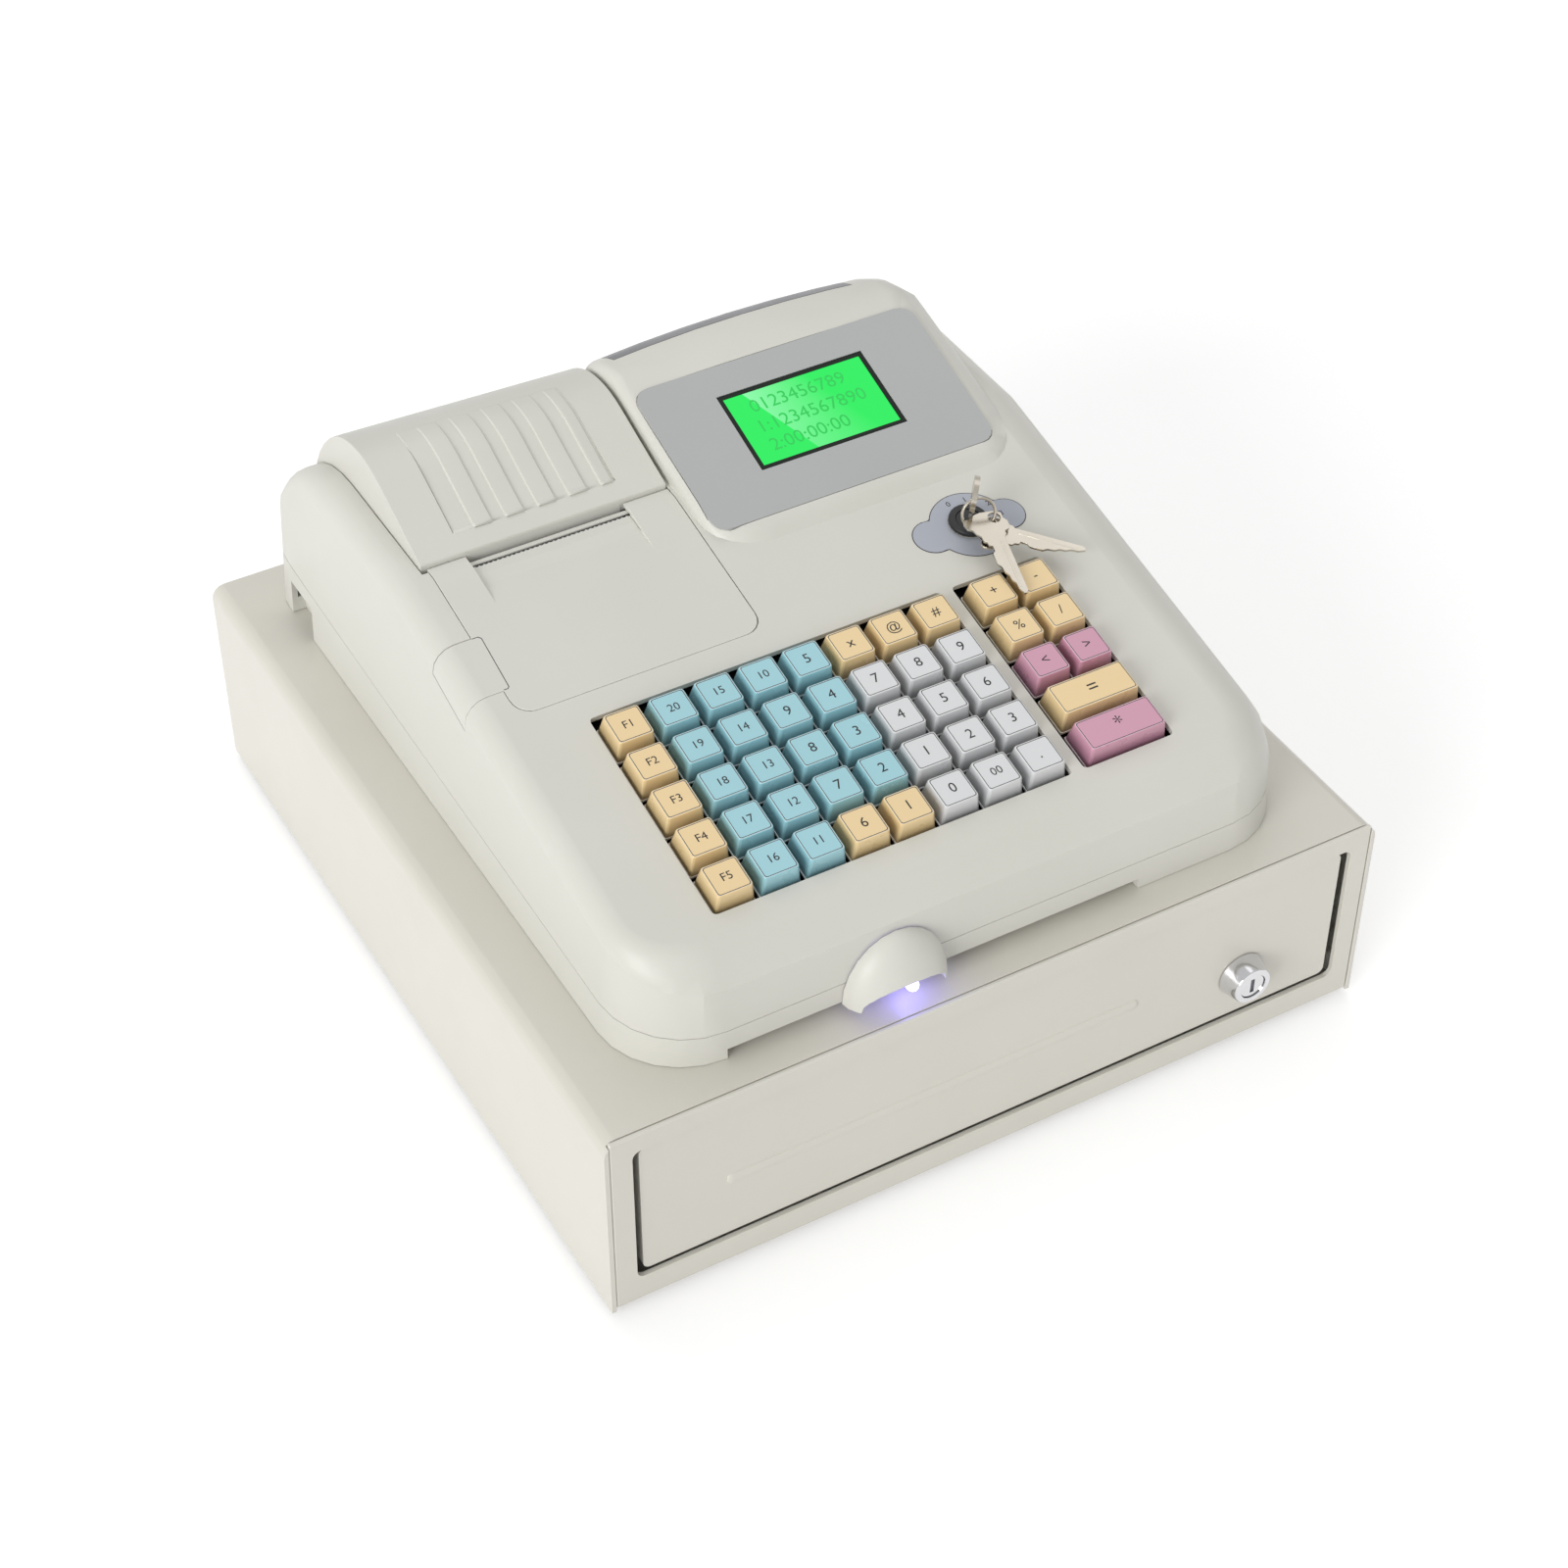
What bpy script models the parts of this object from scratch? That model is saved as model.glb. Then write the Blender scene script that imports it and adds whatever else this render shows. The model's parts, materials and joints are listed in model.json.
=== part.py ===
"""Electronic cash register standing on a steel cash drawer.

Metres, +Z up, front towards -Y. The origin is the middle of the cabinet's footprint, on the counter.
The register is centred on the cabinet. Its deck, key wells and keys share one tilted frame.
"""

import math

import bmesh
import bpy
from mathutils import Matrix, Vector

# Fits between pieces
seat_gap = 0.0003
running_gap = 0.0005
cut_overrun = 0.004
merge_distance = 0.00001

# Steel cabinet
cabinet_width = 0.340
cabinet_depth = 0.3635
cabinet_height = 0.0915
cover_sheet = 0.0022
cover_fold_radius = 0.006
chassis_sheet = 0.0015
front_frame_sheet = 0.002
front_lift = 0.0015
side_flange_height = 0.012
opening_side = 0.0112
opening_half_width = cabinet_width / 2 - opening_side
opening_bottom = 0.0135
opening_top = 0.0828
opening_corner = 0.0035
foot_height = 0.003
foot_radius = 0.009
foot_inset = 0.028

# Drawer
panel_border_gap = 0.0033
panel_bottom_gap = 0.0019
panel_top_gap = 0.0013
panel_recess = 0.0015
panel_sheet = 0.0015
panel_depth = 0.010
panel_corner = 0.003
bead_left_inset = 0.050
bead_left = bead_left_inset - cabinet_width / 2
bead_right_inset = 0.108
bead_right = cabinet_width / 2 - bead_right_inset
bead_height = 0.045
bead_radius = 0.0028
bead_proud = 0.0009
pan_side_space = 0.0205
pan_half_width = cabinet_width / 2 - pan_side_space
pan_rear_space = 0.02175
pan_rear = cabinet_depth / 2 - pan_rear_space
pan_sheet = 0.0012
pan_floor = 0.0165
pan_wall_height = 0.046
rail_height = 0.018
rail_bottom = 0.021
rail_sheet = 0.0018
rail_front_space = 0.01375
rail_front = rail_front_space - cabinet_depth / 2
rail_rear_space = 0.01175
rail_rear = cabinet_depth / 2 - rail_rear_space
runner_height = 0.009
runner_front_space = 0.02175
runner_front = runner_front_space - cabinet_depth / 2

# Cylinder lock in the drawer front
lock_inset = 0.058
lock_x = cabinet_width / 2 - lock_inset
lock_height = 0.0365
collar_base_radius = 0.0105
collar_face_radius = 0.0083
collar_length = 0.0085
barrel_radius = 0.0085
barrel_length = 0.024
plug_radius = 0.0055
plug_recess = 0.0006
keyway_width = 0.0018
keyway_height = 0.0070
keyway_depth = 0.003
cam_length = 0.015
cam_width = 0.009
cam_thickness = 0.0018

# Money tray: coin cups in front, note bays behind
tray_side_gap = 0.0012
tray_front_space = 0.03975
tray_front = tray_front_space - cabinet_depth / 2
tray_rear_gap = 0.003
tray_rear = pan_rear - tray_rear_gap
tray_height = 0.040
tray_wall = 0.0022
tray_floor = 0.0022
note_bays = 4
coin_cups = 5
coin_row_share = 0.36
clip_pin_radius = 0.0016
clip_pin_entry = 0.0012
clip_pin_drop = 0.0065
clip_pin_inset = 0.008
clip_width = 0.020
clip_length = 0.088
clip_sheet = 0.0014
clip_toe = 0.006

# Register body
body_half_width = 0.146
body_front = -0.1655
body_rear = 0.168
body_side_draft = 0.0030
body_end_draft = 0.0006
front_corner = 0.035
rear_corner = 0.013
left_fillet = 0.0095
right_fillet = 0.023
rear_fillet = 0.004
shoulder_depth = 0.015
shoulder_drop = 0.0103
shoulder_shares = ((0.0, 1.0), (0.33, 0.54), (0.62, 0.16), (0.82, 0.04), (1.0, 0.0))
edge_steps = 4
corner_steps = 6
rear_steps = 8
columns = 6
wall = 0.0025
bottom_wall = 0.0022
deck_tilt = math.radians(11.9)
deck_edge_y = -0.1554
deck_edge_height = 0.0470
cheek_height = 0.0875
cheek_crest_y = 0.107
cheek_radius = 0.060
parting_front = 0.0140
parting_rear = 0.0255
skirt_left = -0.111
skirt_right = 0.068
skirt_lift = 0.0047
socket_notch_front = 0.1275
socket_notch_rear = 0.1490
socket_notch_height = 0.0165

# Display hood
hood_left = -0.0200
hood_right = 0.128
hood_front = -0.001
hood_rear = 0.1385
hood_left_fillet = 0.0045
hood_right_fillet = 0.020
hood_front_corner = 0.0255
hood_rear_corner = 0.026
hood_ramp_depth = 0.010
hood_ramp_drop = 0.006
hood_tilt = math.radians(17.5)
hood_start_y = 0.0105
hood_start_height = 0.0861
hood_roll_radius = 0.020
hood_roll_turn = math.radians(20.0)
hood_back_radius = 0.050
hood_crown = 0.0026
hood_crown_reach = 0.056
hood_bulge = 0.004
hood_root = 0.030

# Display panel, module and rear window
panel_left_x = -0.0172
panel_right_x = 0.1122
panel_front_y = 0.0100
panel_length = 0.0748
panel_film = 0.0012
panel_round = 0.007
screen_left_x = 0.0138
screen_right_x = 0.0813
screen_front = 0.0207
screen_length = 0.0396
module_margin = 0.006
module_depth = 0.008
glass_recess = 0.0006
window_left = -0.0126
window_right = 0.0990
window_front = 0.1050
window_drop = 0.028
window_sheet = 0.002

# Key wells and keys, measured on the tilted deck
key_pitch = 0.01905
first_key_x = -0.0937
first_key_y = -0.0589
key_rise = 0.0060
key_base = 0.0172
key_top_width = 0.0143
key_top_length = 0.0140
key_height = 0.0105
key_edge = 0.0006
key_travel = 0.0030
stem_size = 0.0060
stem_gap = 0.0004
stem_below_plate = 0.0035
plate_sheet = 0.0015
plate_margin = 0.0055
plate_post = 0.0036
main_columns = 8
key_rows = 5
right_block_x = 0.0757
well_side_margin = 0.0014
well_rear_margin = 0.0036
well_front_margin = 0.0011
block_left_margin = 0.0027
block_right_margin = 0.0019
well_round = 0.002
web_width = 0.008
web_height = 0.0025

# Printer: cover with its latch tab, frame, platen, paper and blade
cover_left = -0.1262
cover_right = -0.0218
cover_front = -0.0352
cover_rear = 0.0432
cover_skin = 0.0016
cover_gap = 0.0004
cover_round = 0.008
cover_ledge = 0.004
tab_right = -0.1244
tab_front = -0.0222
tab_rear = 0.0046
tab_front_height = 0.0625
tab_rear_height = 0.0705
slot_left = -0.1100
slot_right = -0.0415
slot_ramp_y = 0.0170
slot_edge_y = 0.0375
slot_drop = 0.0032
slot_side_wall = 0.0016
blade_width = 0.0050
blade_sheet = 0.0005
blade_tooth = 0.0009
blade_teeth = 34

# Paper lid
lid_left = -0.1287
lid_right = -0.0217
lid_front = 0.0440
lid_front_height = 0.0895
lid_front_drop = 0.0060
lid_crest_y = 0.097
lid_radius = 0.045
lid_left_centre = 0.0643
lid_right_centre = 0.0606
lid_back_radius = 0.0755
lid_back_turn = math.radians(35.0)
lid_wall = 0.0028
lid_end_height = 0.0585
lid_axis_y = 0.1494
lid_axis_height = 0.0600
lid_barrel_radius = 0.0028
lid_pin_radius = 0.0016
lid_pin_reach = 0.0030
lid_side_gap = 0.0005
lug_width = 0.0050
lug_height = 0.012
lug_depth = 0.004
field_left = -0.1105
field_right = -0.0398
field_front = 0.0525
field_depth = 0.0013
field_runout = 0.0003
field_steps = 4
lid_open_rear = 0.160

# Paper path
paper_width = 0.057
paper_radius = 0.034
paper_core_radius = 0.006
roll_y = 0.103
roll_height = 0.056
bucket_wall = 0.0018
bucket_clear = 0.0012
platen_radius = 0.006
platen_shaft_radius = 0.002
platen_y = 0.056
platen_height = 0.072
frame_front = 0.026
head_depth = 0.016
head_height = 0.016

# Mode switch with its keys
switch_x = 0.0789
switch_y = -0.0211
switch_radius = 0.0082
switch_rise = 0.0024
switch_depth = 0.016
switch_neck = 0.0072
switch_floor = 0.002
rotor_radius = 0.0052
mode_angle = math.radians(53.1)
bow_radius = 0.0075
bow_middle = 0.0165
bow_sheet = 0.0021
bow_eye_x = -0.0030
bow_eye_height = 0.0170
bow_eye_radius = 0.0026
shank_width = 0.0070
ring_radius = 0.0067
ring_wire = 0.00065
ring_heading = math.radians(-121.6)
ring_lean = math.radians(58.7)
ring_roll = math.radians(37.4)
spare_length = 0.0280
spare_blade_width = 0.0072
spare_bow_radius = 0.0077
spare_sheet = 0.0010
spare_eye_radius = 0.0026
spare_eye_x = -0.0031
spare_eye_y = -0.0034
first_spare = (math.radians(50.0), math.radians(-102.1), math.radians(-1.3))
second_spare = (math.radians(25.0), math.radians(-44.8), math.radians(0.9))

# Note-checking lamp
lamp_x = -0.0415
lamp_hood_radius = 0.0220
lamp_hood_height = 0.0270
lamp_hood_reach = 0.0140
lamp_hood_wall = 0.0018
lamp_arch_share = 0.82
lamp_arch_height = 0.0105
lamp_radius = 0.0025
lamp_reach = 0.0085
lamp_height = 0.0092
lamp_offset = 0.003

# Board and socket
board_sheet = 0.0016
board_left = -0.080
board_right = 0.095
board_front = -0.125
board_rear = 0.020
board_lift = 0.006
board_post = 0.0035
socket_size = 0.009
socket_depth = 0.012
socket_bore = 0.0030
socket_pin = 0.0009

# Derived places
base_z = foot_height
cabinet_top = base_z + cabinet_height
half_depth = cabinet_depth / 2
half_width = cabinet_width / 2
register_z = cabinet_top + seat_gap
deck_slope = math.tan(deck_tilt)
deck_origin = Vector((0.0, deck_edge_y, cabinet_top + deck_edge_height))
deck_end_y = deck_edge_y + (cheek_height - deck_edge_height) / deck_slope
hood_roll_y = window_front - hood_roll_radius * (math.sin(hood_tilt) + math.sin(hood_roll_turn))
panel_half_width = opening_half_width - panel_border_gap
panel_bottom = base_z + opening_bottom + panel_bottom_gap
panel_top = base_z + opening_top - panel_top_gap
panel_front = -half_depth + panel_recess
pan_front = panel_front + panel_depth + seat_gap

finishes = {
    "painted_steel": ((0.80, 0.79, 0.75), 0.45, 0.0),
    "inner_steel": ((0.62, 0.63, 0.63), 0.35, 0.9),
    "chrome": ((0.80, 0.81, 0.83), 0.12, 1.0),
    "dark_rubber": ((0.05, 0.05, 0.05), 0.85, 0.0),
    "body_plastic": ((0.78, 0.78, 0.74), 0.48, 0.0),
    "tray_plastic": ((0.12, 0.12, 0.13), 0.55, 0.0),
    "black_plastic": ((0.02, 0.02, 0.02), 0.40, 0.0),
    "grey_film": ((0.40, 0.40, 0.39), 0.45, 0.0),
    "screen_green": ((0.05, 0.75, 0.20), 0.25, 0.0),
    "smoke": ((0.16, 0.16, 0.17), 0.20, 0.0),
    "cream_key": ((0.80, 0.62, 0.36), 0.35, 0.0),
    "blue_key": ((0.35, 0.63, 0.70), 0.35, 0.0),
    "pink_key": ((0.64, 0.36, 0.47), 0.35, 0.0),
    "grey_key": ((0.70, 0.70, 0.69), 0.35, 0.0),
    "paper": ((0.92, 0.92, 0.90), 0.80, 0.0),
    "key_metal": ((0.70, 0.66, 0.58), 0.30, 0.9),
    "lamp": ((0.75, 0.75, 1.00), 0.15, 0.0),
    "board": ((0.05, 0.28, 0.12), 0.50, 0.0),
}


def clear_scene():
    """Removes every object, so that the script starts from an empty scene."""
    for item in list(bpy.data.objects):
        bpy.data.objects.remove(item, do_unlink=True)


def collection_named(name):
    """A collection linked to the scene."""
    made = bpy.data.collections.new(name)
    bpy.context.scene.collection.children.link(made)
    return made


clear_scene()
part_collection = collection_named("ticket_register")
cutter_collection = collection_named("ticket_register_cutters")


def finish_named(name):
    """A Principled material of its own for one sub-part."""
    colour, roughness, metallic = finishes[name]
    made = bpy.data.materials.new(name)
    made.use_nodes = True
    shader = made.node_tree.nodes["Principled BSDF"]
    shader.inputs["Base Color"].default_value = (*colour, 1.0)
    shader.inputs["Roughness"].default_value = roughness
    shader.inputs["Metallic"].default_value = metallic
    return made


def mesh_object(name, shape, collection=None):
    """An object that holds the bmesh, with its faces pointing out."""
    bmesh.ops.recalc_face_normals(shape, faces=shape.faces)
    data = bpy.data.meshes.new(name)
    shape.to_mesh(data)
    shape.free()
    made = bpy.data.objects.new(name, data)
    (collection or cutter_collection).objects.link(made)
    return made


def as_part(item, name, finish, smooth=False):
    """Names a finished solid, gives it its material and moves it to the part's collection."""
    item.name = name
    item.data.name = name
    item.data.materials.clear()
    item.data.materials.append(finish_named(finish))
    for holder in list(item.users_collection):
        holder.objects.unlink(item)
    part_collection.objects.link(item)
    if smooth:
        item.data.shade_smooth()
        item.data.set_sharp_from_angle(angle=math.radians(35))
    return item


def as_cutter(item):
    """Hides a cutting shape from the render."""
    item.hide_render = True
    item.display_type = "WIRE"
    return item


def pivot(item, place):
    """Moves an item's origin to its joint without moving its shape."""
    place = Vector(place)
    item.data.transform(Matrix.Translation(-place))
    item.location = place
    return item


def bake(item):
    """Applies the object's modifiers and its place to its mesh."""
    bpy.context.view_layer.update()
    graph = bpy.context.evaluated_depsgraph_get()
    data = bpy.data.meshes.new_from_object(item.evaluated_get(graph))
    data.transform(item.matrix_world)
    made = bpy.data.objects.new(item.name, data)
    cutter_collection.objects.link(made)
    bpy.data.objects.remove(item, do_unlink=True)
    return made


def combine(item, others, operation):
    """Joins or cuts the item with the others by EXACT Booleans, and bakes the result."""
    for other in others:
        step = item.modifiers.new(operation.lower(), "BOOLEAN")
        step.operation = operation
        step.solver = "EXACT"
        step.object = as_cutter(other)
    made = bake(item)
    for other in others:
        bpy.data.objects.remove(other, do_unlink=True)
    return made


def cut(item, *others):
    return combine(item, others, "DIFFERENCE")


def join(item, *others):
    return combine(item, others, "UNION")


def overlap(item, other):
    return combine(item, (other,), "INTERSECT")


def block(low, high, round_edges=0.0, segments=2):
    """A box between two corners, with its edges rounded where asked."""
    size = [b - a for a, b in zip(low, high)]
    centre = [(a + b) / 2 for a, b in zip(low, high)]
    shape = bmesh.new()
    bmesh.ops.create_cube(shape, size=1.0, matrix=Matrix.Translation(centre) @ Matrix.Diagonal((*size, 1.0)))
    made = mesh_object("block", shape)
    if round_edges:
        made = rounded(made, round_edges, segments)
    return made


def rounded(item, width, segments=2, angle=math.radians(40)):
    """Rounds the sharp edges of an item."""
    step = item.modifiers.new("round", "BEVEL")
    step.width = width
    step.segments = segments
    step.limit_method = "ANGLE"
    step.angle_limit = angle
    return bake(item)


def rod(start, end, radius, sides=24, end_radius=None):
    """A cylinder or cone between two points."""
    start, end = Vector(start), Vector(end)
    axis = end - start
    turn = Vector((0, 0, 1)).rotation_difference(axis).to_matrix().to_4x4()
    shape = bmesh.new()
    bmesh.ops.create_cone(
        shape,
        cap_ends=True,
        segments=sides,
        radius1=radius,
        radius2=radius if end_radius is None else end_radius,
        depth=axis.length,
        matrix=Matrix.Translation((start + end) / 2) @ turn,
    )
    return mesh_object("rod", shape)


def outline_solid(points, low, high, axis):
    """A flat outline made solid between two planes across an axis.

    The outline's two values are (y, z) across X, (x, z) across Y and (x, y) across Z.
    """
    frames = {
        "X": Matrix(((0, 0, 1, 0), (1, 0, 0, 0), (0, 1, 0, 0), (0, 0, 0, 1))),
        "Y": Matrix(((1, 0, 0, 0), (0, 0, -1, 0), (0, 1, 0, 0), (0, 0, 0, 1))),
        "Z": Matrix.Identity(4),
    }
    middle = (low + high) / 2
    along = {"X": (middle, 0, 0), "Y": (0, middle, 0), "Z": (0, 0, middle)}[axis]
    data = bpy.data.curves.new("outline", "CURVE")
    data.dimensions = "2D"
    data.fill_mode = "BOTH"
    data.extrude = (high - low) / 2
    line = data.splines.new("POLY")
    line.points.add(len(points) - 1)
    for place, (a, b) in zip(line.points, points):
        place.co = (a, b, 0.0, 1.0)
    line.use_cyclic_u = True
    made = bpy.data.objects.new("outline", data)
    cutter_collection.objects.link(made)
    made.matrix_world = Matrix.Translation(along) @ frames[axis]
    made = bake(made)
    shape = bmesh.new()
    shape.from_mesh(made.data)
    bmesh.ops.remove_doubles(shape, verts=shape.verts, dist=merge_distance)
    bmesh.ops.recalc_face_normals(shape, faces=shape.faces)
    shape.to_mesh(made.data)
    shape.free()
    return made


def arc(centre, radius, start, end, steps):
    """Points on an arc, angles in degrees from the first axis towards the second."""
    found = []
    for index in range(steps + 1):
        turn = math.radians(start + (end - start) * index / steps)
        found.append((centre[0] + radius * math.cos(turn), centre[1] + radius * math.sin(turn)))
    return found


def rounded_rectangle(low, high, radius, steps=4):
    """The outline of a rectangle with round corners."""
    (x0, y0), (x1, y1) = low, high
    return (
        arc((x1 - radius, y1 - radius), radius, 0, 90, steps)
        + arc((x0 + radius, y1 - radius), radius, 90, 180, steps)
        + arc((x0 + radius, y0 + radius), radius, 180, 270, steps)
        + arc((x1 - radius, y0 + radius), radius, 270, 360, steps)
    )


def deck_height(y):
    """World height of the deck's plane."""
    return deck_origin.z + (y - deck_origin.y) * deck_slope


def on_deck(x, y, lift=0.0):
    """The frame on the deck at x, y, raised along the deck's normal, with its Z along the normal."""
    turn = Matrix.Rotation(deck_tilt, 4, "X")
    place = Vector((x, y, deck_height(y))) + turn @ Vector((0, 0, lift))
    return Matrix.Translation(place) @ turn


def hood_height(y):
    """World height of the hood's flat front slope."""
    return cabinet_top + hood_start_height + (y - hood_start_y) * math.tan(hood_tilt)


def on_hood(x, y, lift=0.0):
    """The frame on the hood's slope, with its Z along the slope's normal."""
    turn = Matrix.Rotation(hood_tilt, 4, "X")
    place = Vector((x, y, hood_height(y))) + turn @ Vector((0, 0, lift))
    return Matrix.Translation(place) @ turn


def placed(item, frame):
    """Moves an item by a frame and applies it."""
    item.data.transform(frame)
    return item


def body_top(x, y):
    """Height of the body's upper surface without the hood: deck, flat cheek, then a round rear."""
    flat = cabinet_top + cheek_height
    if y <= cheek_crest_y:
        return min(deck_height(y), flat)
    across = min((y - cheek_crest_y) / cheek_radius, 1.0)
    return flat - cheek_radius * (1.0 - math.sqrt(1.0 - across * across))


def hood_top(x, y):
    """Height of the hood's surface: flat slope, rolled crest, round rear, lower towards its sides."""
    roll_z = hood_height(hood_roll_y) - hood_roll_radius * math.cos(hood_tilt)
    roll_centre = hood_roll_y + hood_roll_radius * math.sin(hood_tilt)
    more = hood_back_radius - hood_roll_radius
    back_centre = roll_centre - more * math.sin(hood_roll_turn)
    if y <= hood_roll_y:
        height = hood_height(y)
    elif y <= window_front:
        height = roll_z + math.sqrt(hood_roll_radius ** 2 - (y - roll_centre) ** 2)
    else:
        back_z = roll_z - more * math.cos(hood_roll_turn)
        height = back_z + math.sqrt(max(hood_back_radius ** 2 - (y - back_centre) ** 2, 0.0))
    middle = (window_left + window_right) / 2
    flat = panel_front_y + panel_length * math.cos(hood_tilt)
    share = min(max((y - flat) / (window_front - flat), 0.0), 1.0)
    return height - hood_crown * share * ((x - middle) / hood_crown_reach) ** 2


def round_edge(radius):
    """Inset and drop of a round edge, from the wall's top to the flat."""
    turns = [math.radians(90 * step / edge_steps) for step in range(edge_steps + 1)]
    return [(radius * (1 - math.cos(turn)), radius * (1 - math.sin(turn))) for turn in turns]


def sloped_edge(depth, drop):
    """Inset and drop of a sloped shoulder that starts at a crisp crease and bends softly into the flat."""
    return [(depth * inset, drop * fall) for inset, fall in shoulder_shares]


class Shell:
    """A closed body made of stacked rings round a plan with round corners, under a curved top.

    A row runs from the left side to the right side at one depth; the rows are close together where the
    corners and the rear are round. The ring of a level is the border of the grid of rows. Each side has an
    edge profile that leads from its wall to the top.
    """

    def __init__(self, plan, corners, edges, top, base, draft, knots, bulge=0.0):
        self.left, self.right, self.front, self.rear = plan
        self.front_corner, self.rear_corner = corners
        self.left_edge, self.right_edge, self.front_edge, self.rear_edge = edges
        self.side_draft, self.end_draft = draft
        self.top, self.base, self.knots, self.bulge = top, base, knots, bulge

    def rows(self, level, shrink_side, shrink_end):
        """Depth, left and right insets, and share of the end's edge for each row of a level."""
        ends = [shrink_end + self.front_edge[level][0], shrink_end + self.rear_edge[level][0]]
        sides = [shrink_side + self.left_edge[level][0], shrink_side + self.right_edge[level][0]]
        found = []
        deep = self.front_corner - ends[0]
        for index in range(corner_steps + 1):
            turn = math.radians(90 * index / corner_steps)
            insets = [side + (self.front_corner - side) * (1 - math.sin(turn)) for side in sides]
            found.append((self.front + ends[0] + deep * (1 - math.cos(turn)), *insets, math.cos(turn) ** 2))
        found += [(knot, *sides, 0.0) for knot in self.knots]
        start = self.knots[-1]
        rear = self.rear - ends[1]
        deep = self.rear_corner - ends[1]
        for index in range(1, rear_steps + 1):
            turn = math.radians(90 * index / rear_steps)
            depth = start + (rear - start) * math.sin(turn)
            past = min(max(depth - (rear - deep), 0.0) / deep, 1.0)
            bend = 1 - math.sqrt(1 - past * past)
            insets = [side + max(self.rear_corner - side, 0.0) * bend for side in sides]
            found.append((depth, *insets, past * past))
        return found

    def level(self, level, inset, lower, drafted=True):
        """The grid of points of one level, and the height of each."""
        side = inset + (self.side_draft if drafted else 0.0)
        end = inset + (self.end_draft if drafted else 0.0)
        found = []
        rows = self.rows(level, side, end)
        for row, (depth, left, right, end_share) in enumerate(rows):
            end_edge = self.front_edge if row <= corner_steps else self.rear_edge
            line = []
            for column in range(columns + 1):
                share = column / columns
                x = self.left + left + (self.right - right - self.left - left) * share
                back = max(depth - self.knots[-1], 0.0) / (self.rear - self.knots[-1])
                y = depth + self.bulge * back * (1 - (2 * share - 1) ** 2)
                side_drop = self.left_edge[level][1] * (1 - share) + self.right_edge[level][1] * share
                drop = side_drop * (1 - end_share) + end_edge[level][1] * end_share
                line.append((x, y, self.top(x, y) - lower - drop))
            found.append(line)
        return found

    def solid(self, inset=0.0, lower=0.0, drop=0.0):
        """The closed body. Lower brings the top down; drop takes the base down."""
        foot = [
            [(x, y, self.base - drop) for x, y, z in line] for line in self.level(0, inset, lower, False)
        ]
        rises = [self.level(index, inset, lower) for index in range(edge_steps + 1)]
        shape = bmesh.new()
        caps = [[[shape.verts.new(place) for place in line] for line in grid] for grid in (foot, rises[-1])]
        rings = [border(caps[0])]
        rings += [[shape.verts.new(place) for place in border(grid)] for grid in rises[:-1]]
        rings.append(border(caps[1]))
        for low_ring, high_ring in zip(rings, rings[1:]):
            count = len(low_ring)
            for index in range(count):
                after = (index + 1) % count
                shape.faces.new((low_ring[index], low_ring[after], high_ring[after], high_ring[index]))
        for cap in caps:
            for near, far in zip(cap, cap[1:]):
                for column in range(columns):
                    shape.faces.new((near[column], near[column + 1], far[column + 1], far[column]))
        return mesh_object("shell", shape)


def border(grid):
    """The outer loop of a grid of rows."""
    loop = list(grid[0])
    loop += [line[-1] for line in grid[1:]]
    loop += list(reversed(grid[-1][:-1]))
    loop += [line[0] for line in reversed(grid[1:-1])]
    return loop


body = Shell(
    (-body_half_width, body_half_width, body_front, body_rear), (front_corner, rear_corner),
    (round_edge(left_fillet), round_edge(right_fillet), sloped_edge(shoulder_depth, shoulder_drop),
     round_edge(rear_fillet)),
    body_top, register_z, (body_side_draft, body_end_draft), (deck_end_y, cheek_crest_y),
)
hood = Shell(
    (hood_left, hood_right, hood_front, hood_rear), (hood_front_corner, hood_rear_corner),
    (
        round_edge(hood_left_fillet),
        round_edge(hood_right_fillet),
        sloped_edge(hood_ramp_depth, hood_ramp_drop),
        round_edge(rear_fillet),
    ),
    hood_top,
    cabinet_top + hood_start_height - hood_root,
    (0.0, 0.0),
    (hood_roll_y, window_front),
    hood_bulge,
)


def parting_cutter(side, gap):
    """A slab above or below the line where the two housings meet, tilted like that line."""
    slope = (parting_rear - parting_front) / (body_rear - body_front)
    front, rear = body_front - cut_overrun, body_rear + cut_overrun
    line = [(y, cabinet_top + parting_front + slope * (y - body_front) + gap) for y in (front, rear)]
    far = cabinet_top + side * cabinet_height * 2
    outline = [line[0], line[1], (rear, far), (front, far)]
    return outline_solid(outline, -half_width, half_width, "X")


def cabinet_cover():
    """Painted sheet folded over the top and both sides."""
    z1 = cabinet_top
    half = half_width
    r = cover_fold_radius
    outer = [(half, base_z)] + arc((half - r, z1 - r), r, 0, 90, 4)
    outer += arc((-half + r, z1 - r), r, 90, 180, 4) + [(-half, base_z)]
    t = cover_sheet
    inner = [(-half + t, base_z)] + arc((-half + r, z1 - r), r - t, 180, 90, 4)
    inner += arc((half - r, z1 - r), r - t, 90, 0, 4) + [(half - t, base_z)]
    made = outline_solid(outer + inner, -half_depth, half_depth, "Y")
    seam = half - t + seat_gap / 2
    room = block(
        (-seam, -half_depth - cut_overrun, base_z - cut_overrun),
        (seam, -half_depth + front_frame_sheet + seat_gap, z1 + cut_overrun),
    )
    return as_part(cut(made, room), "cabinet_cover", "painted_steel")


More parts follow.
